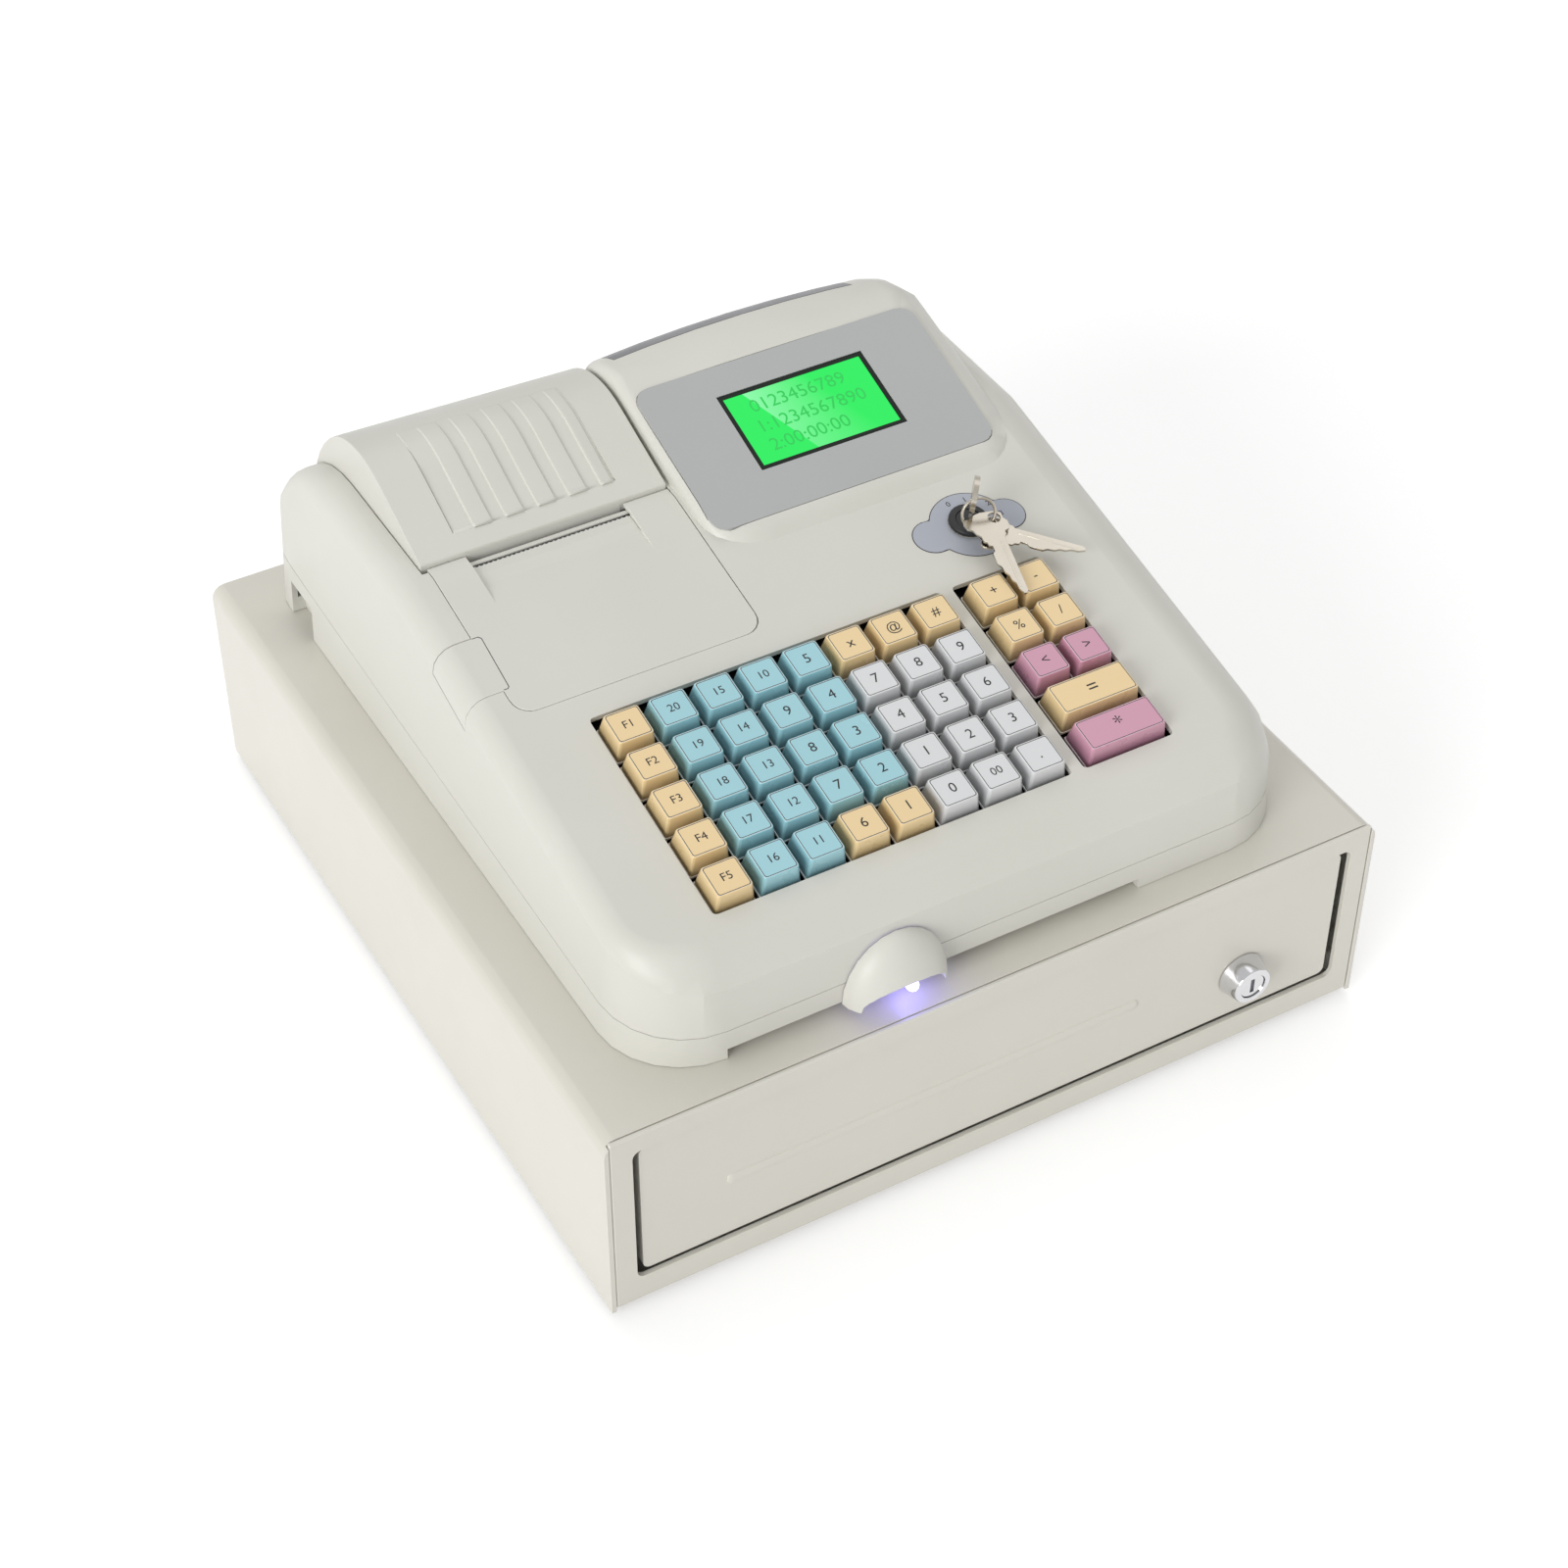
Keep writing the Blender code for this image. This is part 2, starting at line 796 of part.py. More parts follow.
def cabinet_chassis():
    """Front frame, bottom, back and low side flanges of sheet steel."""
    edge = half_width - cover_sheet - seat_gap / 2
    inner_top = cabinet_top - cover_sheet - seat_gap
    z0 = base_z + front_lift
    t = chassis_sheet
    frame = block((-edge, -half_depth, z0), (edge, -half_depth + front_frame_sheet, cabinet_top))
    frame = rounded(frame, front_frame_sheet / 4, 1)
    side = edge - seat_gap
    low = z0 + seat_gap
    high = low + side_flange_height
    trough = [
        (-side, low), (side, low), (side, high), (side - t, high), (side - t, low + t),
        (-side + t, low + t), (-side + t, high), (-side, high),
    ]
    trough = outline_solid(trough, -half_depth + front_frame_sheet / 2, half_depth - t / 2, "Y")
    corners = ((-side - seat_gap, low - seat_gap), (side + seat_gap, inner_top))
    back = outline_solid(rounded_rectangle(*corners, cover_fold_radius), half_depth - t, half_depth, "Y")
    outline = rounded_rectangle(
        (-opening_half_width, base_z + opening_bottom),
        (opening_half_width, base_z + opening_top),
        opening_corner,
    )
    hole = outline_solid(outline, -half_depth - cut_overrun, -half_depth + cut_overrun, "Y")
    return as_part(cut(join(frame, trough, back), hole), "cabinet_chassis", "painted_steel")


def feet():
    """Four rubber feet under the chassis."""
    for x_name, x in (("left", -half_width + foot_inset), ("right", half_width - foot_inset)):
        for y_name, y in (("front", -half_depth + foot_inset), ("rear", half_depth - foot_inset)):
            top = base_z + front_lift - seat_gap
            made = rod((x, y, 0.0), (x, y, top), foot_radius, 20, foot_radius * 0.85)
            as_part(made, f"foot_{y_name}_{x_name}", "dark_rubber", smooth=True)


def runner_reach():
    """How far out the pan's runners stand: they pass through the front opening."""
    return opening_half_width - 2 * running_gap


def drawer_rails():
    """A channel on each side wall, open towards the drawer, with flanges that reach the wall."""
    outer = half_width - cover_sheet - seat_gap
    inner = pan_half_width + running_gap
    web = runner_reach() + running_gap
    z0 = base_z + rail_bottom
    z1 = z0 + rail_height
    t = rail_sheet
    for name, side in (("left", -1), ("right", 1)):
        section = [
            (outer, z0), (inner, z0), (inner, z0 + t), (web, z0 + t), (web, z1 - t), (inner, z1 - t),
            (inner, z1), (outer, z1), (outer, z1 - t), (web + t, z1 - t), (web + t, z0 + t), (outer, z0 + t),
        ]
        made = outline_solid([(side * x, z) for x, z in section], rail_front, rail_rear, "Y")
        as_part(made, f"drawer_rail_{name}", "inner_steel")


def drawer_pan():
    """Open steel pan with a runner along each side."""
    z0 = base_z + pan_floor
    z1 = z0 + pan_wall_height
    t = pan_sheet
    made = block((-pan_half_width, pan_front, z0), (pan_half_width, pan_rear, z1))
    room = block(
        (-pan_half_width + t, pan_front + t, z0 + t), (pan_half_width - t, pan_rear - t, z1 + cut_overrun)
    )
    made = cut(made, room)
    reach = runner_reach()
    low_z = base_z + rail_bottom + rail_sheet + seat_gap
    for side in (-1, 1):
        low, high = sorted((side * (pan_half_width - t / 2), side * reach))
        runner = block(
            (low, runner_front, low_z), (high, pan_rear - t, low_z + runner_height)
        )
        made = join(made, runner)
    lock_z = base_z + lock_height
    bore = rod(
        (lock_x, pan_front - cut_overrun, lock_z),
        (lock_x, pan_front + cut_overrun, lock_z),
        barrel_radius + seat_gap,
    )
    return as_part(cut(made, bore), "drawer_pan", "inner_steel")


def drawer_front():
    """Folded steel front with its long bead and the hole for the lock."""
    outline = rounded_rectangle(
        (-panel_half_width, panel_bottom), (panel_half_width, panel_top), panel_corner
    )
    made = outline_solid(outline, panel_front, panel_front + panel_depth, "Y")
    made = rounded(made, panel_sheet / 3, 2, math.radians(60))
    t = panel_sheet
    room = block(
        (-panel_half_width + t, panel_front + t, panel_bottom + t),
        (panel_half_width - t, panel_front + panel_depth + cut_overrun, panel_top - t),
    )
    made = cut(made, room)
    z = base_z + bead_height
    bead = rod((bead_left, 0, 0), (bead_right, 0, 0), bead_radius, 12)
    bead = rounded(bead, bead_radius * 0.8, 3)
    flat = Matrix.Diagonal((1.0, bead_proud / bead_radius, 1.0, 1.0))
    bead = placed(bead, Matrix.Translation((0, panel_front, z)) @ flat)
    made = join(made, bead)
    lock_z = base_z + lock_height
    bore = rod(
        (lock_x, panel_front - cut_overrun, lock_z), (lock_x, panel_front + cut_overrun, lock_z),
        barrel_radius + seat_gap,
    )
    return as_part(cut(made, bore), "drawer_front", "painted_steel", smooth=True)


def drawer_lock():
    """Tapered collar on a barrel, and the plug that turns in it with a cam behind."""
    z = base_z + lock_height
    face = panel_front - seat_gap - collar_length
    rear = panel_front + barrel_length
    collar = rod(
        (lock_x, panel_front - seat_gap, z), (lock_x, face, z), collar_base_radius, 32, collar_face_radius
    )
    collar = rounded(collar, key_edge, 2, math.radians(60))
    barrel = rod((lock_x, face + collar_length / 2, z), (lock_x, rear, z), barrel_radius, 32)
    made = join(collar, barrel)
    bore = rod((lock_x, face - cut_overrun, z), (lock_x, rear + cut_overrun, z), plug_radius + seat_gap, 32)
    as_part(cut(made, bore), "lock_body", "chrome", smooth=True)
    front = face + plug_recess
    plug = rod((lock_x, front, z), (lock_x, rear + cam_thickness, z), plug_radius, 32)
    cam = block(
        (lock_x - cam_width / 2, rear + seat_gap, z - cam_length), (
            lock_x + cam_width / 2, rear + cam_thickness, z
        )
    )
    plug = join(plug, cam)
    keyway = block(
        (lock_x - keyway_width / 2, front - cut_overrun, z - keyway_height / 2),
        (lock_x + keyway_width / 2, front + keyway_depth, z + keyway_height / 2),
    )
    made = as_part(cut(plug, keyway), "lock_plug", "chrome", smooth=True)
    return pivot(made, (lock_x, front, z))


def tray_sizes():
    """Outer half width, floor height, divider between cups and bays, and the width of a bay."""
    half = pan_half_width - pan_sheet - tray_side_gap
    floor = base_z + pan_floor + pan_sheet + seat_gap
    split = tray_front + (tray_rear - tray_front) * coin_row_share
    bay = (2 * half - (note_bays + 1) * tray_wall) / note_bays
    return half, floor, split, bay


def bay_centres():
    half, bay = tray_sizes()[0], tray_sizes()[3]
    return [-half + tray_wall + bay / 2 + index * (bay + tray_wall) for index in range(note_bays)]


def clip_axis():
    """Depth and height of the note clips' pins."""
    floor = tray_sizes()[1]
    return tray_rear - tray_wall - clip_pin_inset, floor + tray_height - clip_pin_drop


def money_tray():
    """Moulded tray: round-bottomed coin cups in front, deep note bays behind."""
    half, floor, split, bay = tray_sizes()
    top = floor + tray_height
    made = block((-half, tray_front, floor), (half, tray_rear, top))
    cup = (2 * half - (coin_cups + 1) * tray_wall) / coin_cups
    cutters = []
    for index in range(coin_cups):
        x0 = -half + tray_wall + index * (cup + tray_wall)
        y0, y1 = tray_front + tray_wall, split - tray_wall / 2
        reach = (y1 - y0) / 2
        depth = tray_height - tray_floor
        sweep = [((y0 + y1) / 2 + reach * math.cos(turn), top - depth * -math.sin(turn)) for turn in
                 [math.pi + math.pi * step / 8 for step in range(9)]]
        cutters.append(
            outline_solid(sweep + [(y1, top + cut_overrun), (y0, top + cut_overrun)], x0, x0 + cup, "X")
        )
    for centre in bay_centres():
        cutters.append(block(
            (centre - bay / 2, split + tray_wall / 2, floor + tray_floor),
            (centre + bay / 2, tray_rear - tray_wall, top + cut_overrun),
        ))
    pin_y, pin_z = clip_axis()
    for centre in bay_centres():
        reach = bay / 2 + clip_pin_entry * 0.8
        cutters.append(rod(
            (centre - reach, pin_y, pin_z), (centre + reach, pin_y, pin_z), clip_pin_radius + seat_gap, 12
        ))
    return as_part(cut(made, *cutters), "money_tray", "tray_plastic")


def note_clips():
    """A sprung clip in each note bay, on a pin held by the bay's walls."""
    floor, bay = tray_sizes()[1], tray_sizes()[3]
    pin_y, pin_z = clip_axis()
    low = floor + tray_floor + seat_gap * 2
    for index, centre in enumerate(bay_centres()):
        reach = bay / 2 + clip_pin_entry / 2
        pin = rod((centre - reach, pin_y, pin_z), (centre + reach, pin_y, pin_z), clip_pin_radius, 12)
        front = pin_y - clip_length
        top = [(pin_y, pin_z + clip_sheet / 2), (front + 2 * clip_toe, low + clip_sheet),
               (front + clip_toe, low + clip_sheet), (front, low + clip_toe + clip_sheet)]
        under = [(front + clip_sheet / 2, low + clip_toe - clip_sheet / 2), (front + clip_toe, low),
                 (front + 2 * clip_toe, low), (pin_y, pin_z - clip_sheet / 2)]
        blade = outline_solid(top + under, centre - clip_width / 2, centre + clip_width / 2, "X")
        clip = as_part(join(pin, blade), f"note_clip_{index + 1}", "black_plastic")
        pivot(clip, (centre, pin_y, pin_z))


def register_solid(inset=0.0, lower=0.0, drop=0.0):
    """Body and hood as one solid."""
    return join(body.solid(inset, lower, drop), hood.solid(inset, lower, drop))


def lower_housing():
    """Tray-shaped lower half, with the raised skirt in front, the lamp's hole and the socket's notch."""
    outer = cut(body.solid(), parting_cutter(1, -seat_gap / 2))
    floor = register_z + skirt_lift + bottom_wall
    room = cut(body.solid(wall, wall), block(
        (-half_width, body_front - cut_overrun, cabinet_top - cabinet_height),
        (half_width, body_rear + cut_overrun, floor),
    ))
    skirt = block(
        (skirt_left, body_front - cut_overrun, register_z - cut_overrun),
        (skirt_right, body_front + front_corner * 2, register_z + skirt_lift),
    )
    notch = block(
        (-body_half_width - cut_overrun, socket_notch_front, register_z - cut_overrun),
        (-body_half_width + socket_depth / 2, socket_notch_rear, cabinet_top + socket_notch_height),
    )
    socket_room = socket_block(seat_gap, wall)
    return as_part(cut(outer, room, skirt, notch, socket_room), "lower_housing", "body_plastic", smooth=True)


def socket_block(grow, reach):
    """The body of the power socket, set into the notch's floor side wall."""
    y = (socket_notch_front + socket_notch_rear) / 2
    z = cabinet_top + socket_notch_height - socket_size / 2 - wall
    half = socket_size / 2 + grow
    left = -body_half_width + socket_depth / 2 - reach
    return block((left, y - half, z - half), (left + socket_depth + reach, y + half, z + half))


def power_socket():
    """Round-bored socket with its centre pin."""
    made = socket_block(0.0, 0.0)
    y = (socket_notch_front + socket_notch_rear) / 2
    z = cabinet_top + socket_notch_height - socket_size / 2 - wall
    left = -body_half_width + socket_depth / 2
    bore = rod((left - cut_overrun, y, z), (left + socket_depth * 0.8, y, z), socket_bore, 16)
    pin = rod((left + wall / 2, y, z), (left + socket_depth * 0.9, y, z), socket_pin, 12)
    return as_part(join(cut(made, bore), pin), "power_socket", "black_plastic")


def cover_outline(grow=0.0):
    """Plan of the printer cover without its tab: square behind, round in front."""
    left, right = cover_left - grow, cover_right + grow
    front, rear = cover_front - grow, cover_rear + grow
    return (
        [(right, rear), (left, rear)]
        + arc((left + cover_round, front + cover_round), cover_round, 180, 270, 5)
        + arc((right - cover_round, front + cover_round), cover_round, 270, 360, 5)
    )


def cover_region(grow, low, high):
    """Everything above and below the printer cover's plan, with the latch tab down the left side."""
    plate = outline_solid(cover_outline(grow), low, high, "Z")
    side = [
        (tab_front - grow, cabinet_top + tab_front_height - grow),
        (tab_rear + grow, cabinet_top + tab_rear_height - grow),
        (tab_rear + grow, high - cut_overrun),
        (tab_front - grow, high - cut_overrun),
    ]
    return join(plate, outline_solid(side, -body_half_width - cut_overrun, tab_right + grow, "X"))


def lid_profile(inset, centre_height):
    """Side outline of the paper lid from its front edge over the crest to its rear edge, drawn in by inset.

    A straight slope runs into a round crest, and a larger round leads down to the rear edge.
    """
    centre_y, centre_z = lid_crest_y, cabinet_top + centre_height
    ahead = centre_y - lid_front
    rise = centre_z - (cabinet_top + lid_front_height)
    slope = math.asin(lid_radius / math.hypot(ahead, rise)) + math.atan2(rise, ahead)
    back_turn = math.pi / 2 - lid_back_turn
    more = lid_back_radius - lid_radius
    back_centre = (centre_y - more * math.cos(back_turn), centre_z - more * math.sin(back_turn))
    last = math.asin((cabinet_top + lid_end_height - back_centre[1]) / (lid_back_radius - inset))
    crest = arc(
        (centre_y, centre_z), lid_radius - inset, 90 + math.degrees(slope), math.degrees(back_turn), 9
    )
    back = arc(back_centre, lid_back_radius - inset, math.degrees(back_turn), math.degrees(last), 6)
    front = lid_front + inset
    slope_y, slope_z = crest[0]
    return [(front, slope_z - (slope_y - front) * math.tan(slope))] + crest + back[1:]


def loft_solid(left_outline, right_outline, left, right):
    """A solid between two outlines across X that have the same number of points."""
    shape = bmesh.new()
    ends = []
    for outline, x in ((left_outline, left), (right_outline, right)):
        ends.append([shape.verts.new((x, y, z)) for y, z in outline])
        shape.faces.new(ends[-1])
    count = len(left_outline)
    for index in range(count):
        after = (index + 1) % count
        shape.faces.new((ends[0][index], ends[0][after], ends[1][after], ends[1][index]))
    return mesh_object("loft", shape)


def lid_solid(inset, overrun):
    """The lid's outer shape, higher at its left end, or its inner shape when inset."""
    outlines = []
    for centre_height in (lid_left_centre, lid_right_centre):
        points = lid_profile(inset, centre_height)
        points[-1] = (points[-1][0], points[-1][1] - overrun)
        outlines.append(points + [(points[0][0], cabinet_top + lid_front_height - lid_front_drop - overrun)])
    return loft_solid(*outlines, lid_left + inset, lid_right - inset)


def field_outline(centre_height):
    """Side outline of what is cut for the sunk field. Its floor climbs to the lid's top at the crest."""
    sunk = lid_profile(field_depth, centre_height)
    run = (field_front - sunk[0][0]) / (sunk[1][0] - sunk[0][0])
    points = [(field_front, sunk[0][1] + (sunk[1][1] - sunk[0][1]) * run)]
    for index in range(field_steps + 1):
        depth = field_depth - (field_depth + field_runout) * index / field_steps
        points.append(lid_profile(depth, centre_height)[index + 1])
    top = cabinet_top + centre_height + lid_radius + cut_overrun
    return points + [(points[-1][0], top), (field_front, top)]


def lid_field():
    """The solid that is cut to leave the sunk field, between the side outlines at its two ends."""
    outlines = [field_outline(centre_height) for centre_height in (lid_left_centre, lid_right_centre)]
    lid_width = lid_right - lid_left
    ends = []
    for share in [(x - lid_left) / lid_width for x in (field_left, field_right)]:
        ends.append([(a[0], a[1] * (1 - share) + b[1] * share) for a, b in zip(*outlines)])
    return loft_solid(*ends, field_left, field_right)


def paper_lid():
    """Barrel-shaped lid with closed ends, hinged at the rear on two pins."""
    made = rounded(lid_solid(0.0, 0.0), key_edge, 2, math.radians(50))
    made = cut(made, lid_solid(lid_wall, cut_overrun), lid_field())
    axis_z = cabinet_top + lid_axis_height
    low, high = lid_left + seat_gap, lid_right - seat_gap
    barrel = rod((low, lid_axis_y, axis_z), (high, lid_axis_y, axis_z), lid_barrel_radius, 16)
    reach = lid_side_gap + lid_pin_reach
    pin = rod(
        (lid_left - reach, lid_axis_y, axis_z), (lid_right + reach, lid_axis_y, axis_z), lid_pin_radius, 16
    )
    made = as_part(join(made, barrel, pin), "paper_lid", "body_plastic", smooth=True)
    return pivot(made, (0.0, lid_axis_y, axis_z))


def key_places():
    """Column, row and centre of every key on the deck, in columns from the left."""
    places = {}
    for column in range(main_columns):
        for row in range(key_rows):
            x = first_key_x + column * key_pitch
            y = first_key_y - row * key_pitch * math.cos(deck_tilt)
            places[column, row] = (x, y)
    for column in range(2):
        for row in range(key_rows - 2):
            x = right_block_x + (column - 0.5) * key_pitch
            y = first_key_y - row * key_pitch * math.cos(deck_tilt)
            places[main_columns + column, row] = (x, y)
    return places


def wide_places():
    """The two wide keys at the foot of the right block."""
    return [
        (right_block_x, first_key_y - row * key_pitch * math.cos(deck_tilt)) for row in (
            key_rows - 2, key_rows - 1
        )
    ]


def wells():
    """Corners of the two key wells, along the deck: left, right, front, rear."""
    half = key_base / 2
    last_x = first_key_x + (main_columns - 1) * key_pitch
    front = -(key_rows - 1) * key_pitch - half - well_front_margin
    rear = half + well_rear_margin
    wide = (key_pitch + key_base) / 2
    return [
        (first_key_x - half - well_side_margin, last_x + half + well_side_margin, front, rear),
        (right_block_x - wide - block_left_margin, right_block_x + wide + block_right_margin, front, rear),
    ]


def deck_block(corners, low, high, grow=0.0):
    """A block square to the deck, over the corners given along the deck from the first key."""
    left, right, front, rear = corners
    outline = rounded_rectangle((left - grow, front - grow), (right + grow, rear + grow), well_round, 3)
    made = outline_solid(outline, low, high, "Z")
    return placed(made, on_deck(0.0, first_key_y))


def lid_lugs():
    """Two blocks inside the rear wall that carry the paper lid's pins."""
    axis_z = cabinet_top + lid_axis_height
    made = []
    for edge, side in ((lid_left - lid_side_gap, -1), (lid_right + lid_side_gap, 1)):
        low, high = sorted((edge, edge + side * lug_width))
        around = block(
            (low, lid_axis_y - lug_depth, axis_z - lug_height), (high, lid_open_rear, axis_z + lug_depth)
        )
        made.append(overlap(around, body.solid(wall / 5, wall / 5)))
    return made


def cover_pocket():
    """The printer cover's recess, with the ledge that the cover rests on."""
    top = cabinet_top + 2 * cheek_height
    around = overlap(body.solid(-cut_overrun, -cut_overrun), cover_region(cover_gap, cabinet_top, top))
    depth = cover_skin + seat_gap
    return cut(around, body.solid(depth, depth))


def printer_room():
    """The openings under the printer cover and the paper lid."""
    top = cabinet_top + 2 * cheek_height
    low = cabinet_top + deck_edge_height
    under_cover = outline_solid(cover_outline(-cover_ledge), low, top, "Z")
    under_lid = block(
        (lid_left - lid_side_gap, cover_rear - cut_overrun / 2, low),
        (lid_right + lid_side_gap, lid_open_rear, top + cut_overrun),
    )
    return [under_cover, under_lid]


def upper_housing():
    """Deck, cheeks and hood, with the wells and the openings for all that sits in them."""
    made = cut(register_solid(), parting_cutter(-1, seat_gap / 2))
    made = cut(made, register_solid(wall, wall, cut_overrun))
    deep = 2 * key_height
    made = cut(made, *[deck_block(corners, -deep, deep) for corners in wells()])
    made = cut(made, cover_pocket())
    made = cut(made, *printer_room())
    made = cut(made, *display_cutters())
    made = join(made, *lid_lugs())
    axis_z = cabinet_top + lid_axis_height
    reach = lid_side_gap + lid_pin_reach + seat_gap
    pin_bore = rod(
        (lid_left - reach, lid_axis_y, axis_z), (lid_right + reach, lid_axis_y, axis_z),
        lid_pin_radius + seat_gap, 16,
    )
    made = cut(made, pin_bore, switch_bore())
    return as_part(made, "upper_housing", "body_plastic", smooth=True)


def switch_bore():
    """Hole in the deck for the mode switch."""
    bore = rod((0, 0, -switch_depth - cut_overrun), (0, 0, cut_overrun), switch_neck + seat_gap, 24)
    return placed(bore, on_deck(switch_x, switch_y))


def panel_frame(lift=0.0):
    """Frame at the lower left corner of the display panel, X to the right and Y up the slope."""
    return on_hood(panel_left_x, panel_front_y, lift)


def panel_solid(grow, low, high):
    width = panel_right_x - panel_left_x
    outline = rounded_rectangle((-grow, -grow), (width + grow, panel_length + grow), panel_round)
    return placed(outline_solid(outline, low, high, "Z"), panel_frame())


def screen_block(grow, low, high):
    left = screen_left_x - panel_left_x
    right = screen_right_x - panel_left_x
    made = block(
        (left - grow, screen_front - grow, low), (right + grow, screen_front + screen_length + grow, high)
    )
    return placed(made, panel_frame())


def window_region(grow):
    """Box round the rear display window."""
    low = hood_top(0.0, window_front) - window_drop
    return block(
        (window_left - grow, window_front - grow, low - grow),
        (window_right + grow, hood_rear + hood_bulge + cut_overrun, low + 2 * window_drop),
    )


def display_cutters():
    """The panel's recess, the screen's opening and the rear window's opening."""
    recess = panel_solid(seat_gap, -panel_film - seat_gap, cut_overrun)
    opening = screen_block(2 * seat_gap, -module_depth, cut_overrun)
    return [recess, opening, window_region(seat_gap)]


def display_panel():
    """Grey panel with the screen's opening, flush with the hood."""
    made = panel_solid(0.0, -panel_film, 0.0)
    return as_part(cut(made, screen_block(0.0, -module_depth, cut_overrun)), "display_panel", "grey_film")


def lcd_module():
    """Display module under the hood, with its glass standing in the opening."""
    glass = screen_block(-seat_gap, -wall - 2 * panel_film, -glass_recess)
    top = -wall - 3 * seat_gap
    case = screen_block(module_margin, top - module_depth, top)
    return as_part(join(case, glass), "lcd_module", "screen_green")


def customer_window():
    """Smoke-coloured window that follows the hood's round rear."""
    outer = overlap(hood.solid(), window_region(0.0))
    return as_part(
        cut(outer, hood.solid(window_sheet, window_sheet)), "customer_window", "smoke", smooth=True
    )


def printer_cover():
    """Flat cover with the paper slot's ramp and the latch tab that wraps the left side."""
    top = cabinet_top + 2 * cheek_height
    outer = overlap(body.solid(), cover_region(0.0, cabinet_top, top))
    made = cut(outer, body.solid(cover_skin, cover_skin))
    start, edge = slot_ramp_y, slot_edge_y
    start_z, edge_z = deck_height(start), deck_height(edge)
    low_z = edge_z - slot_drop
    under = [
        (start - slot_drop, deck_height(start - slot_drop) - cover_skin / 2),
        (edge, edge_z - cover_skin / 2),
        (edge, low_z - cover_skin),
        (start, start_z - cover_skin - seat_gap),
        (start - slot_drop, deck_height(start - slot_drop) - cover_skin - seat_gap),
    ]
    ramp = outline_solid(under, slot_left - slot_side_wall, slot_right + slot_side_wall, "X")
    beyond = cover_rear + cut_overrun
    notch = [
        (start, start_z), (edge, low_z), (edge, cabinet_top + deck_edge_height),
        (beyond, cabinet_top + deck_edge_height), (beyond, top), (start, top),
    ]
    made = cut(join(made, ramp), outline_solid(notch, slot_left, slot_right, "X"))
    made = as_part(made, "printer_cover", "body_plastic", smooth=True)
    return pivot(made, (cover_right, slot_edge_y, deck_height(slot_edge_y)))


def tear_blade():
    """Serrated steel blade on the slot's lower edge."""
    left, right = slot_left + seat_gap, slot_right - seat_gap
    pitch = (right - left) / blade_teeth
    outline = [(left, 0.0), (right, 0.0)]
    for index in range(blade_teeth):
        start = right - index * pitch
        outline += [(start, blade_width - blade_tooth), (start - pitch / 2, blade_width)]
    outline.append((left, blade_width - blade_tooth))
    drop = slot_drop / (slot_edge_y - slot_ramp_y)
    turn = math.atan(deck_slope - drop)
    y = slot_edge_y - blade_width + blade_tooth
    z = deck_height(y) - drop * (y - slot_ramp_y)
    frame = Matrix.Translation((0, y, z)) @ Matrix.Rotation(turn, 4, "X")
    made = outline_solid(outline, seat_gap, seat_gap + blade_sheet, "Z")
    return as_part(placed(made, frame), "tear_blade", "inner_steel")


def roll_axis():
    return roll_y, cabinet_top + roll_height


def printer_frame():
    """Roll bucket between two side plates, with the print head and the platen's bearings."""
    y, z = roll_axis()
    inner = paper_radius + seat_gap * 2
    outer = inner + bucket_wall
    x_left = (slot_left + slot_right) / 2 - paper_width / 2 - bucket_clear
    x_right = (slot_left + slot_right) / 2 + paper_width / 2 + bucket_clear
    platen_z = cabinet_top + platen_height
    floor = arc((y, z), outer, 180, 360, 14) + arc((y, z), inner, 360, 180, 14)
    bucket = outline_solid(floor, x_left - bucket_wall / 2, x_right + bucket_wall / 2, "X")
    plates = []
    side = arc((y, z), outer, 200, 360, 12)
    side += [(platen_y, platen_z + platen_radius), (frame_front, platen_z + platen_radius)]
    side += [(frame_front, platen_z - head_height), (platen_y, z - platen_radius)]
    for low, high in ((x_left - bucket_wall, x_left), (x_right, x_right + bucket_wall)):
        plates.append(outline_solid(side, low, high, "X"))
    head = block(
        (x_left - bucket_wall / 2, frame_front, platen_z - head_height / 2),
        (x_right + bucket_wall / 2, frame_front + head_depth, platen_z + platen_radius / 2),
    )
    made = join(bucket, *plates, head)
    bearing = rod(
        (x_left - 2 * bucket_wall, platen_y, platen_z), (x_right + 2 * bucket_wall, platen_y, platen_z),
        platen_shaft_radius + seat_gap, 16,
    )
    foot_z = register_z + skirt_lift + bottom_wall + seat_gap
    feet_blocks = [
        block((low, y - platen_radius, foot_z), (high, y + platen_radius, z - inner - bucket_wall / 2))
        for low, high in (
            (x_left - bucket_wall, x_left + bucket_wall), (x_right - bucket_wall, x_right + bucket_wall)
        )
    ]
    made = join(made, *feet_blocks)
    return as_part(cut(made, bearing), "printer_frame", "black_plastic")


def paper_and_platen():
    """Paper roll in its bucket, and the rubber platen on its shaft."""
    y, z = roll_axis()
    middle = (slot_left + slot_right) / 2
    roll = rod((middle - paper_width / 2, y, z), (middle + paper_width / 2, y, z), paper_radius, 40)
    core = rod((middle - paper_width, y, z), (middle + paper_width, y, z), paper_core_radius, 20)
    roll = as_part(cut(roll, core), "paper_roll", "paper", smooth=True)
    pivot(roll, (middle, y, z))
    platen_z = cabinet_top + platen_height
    half = paper_width / 2
    rubber = rod((middle - half, platen_y, platen_z), (middle + half, platen_y, platen_z), platen_radius, 24)
    reach = half + bucket_clear + bucket_wall
    shaft = rod(
        (middle - reach, platen_y, platen_z), (middle + reach, platen_y, platen_z), platen_shaft_radius, 16
    )
    roller = as_part(join(rubber, shaft), "platen_roller", "dark_rubber", smooth=True)
    pivot(roller, (middle, platen_y, platen_z))


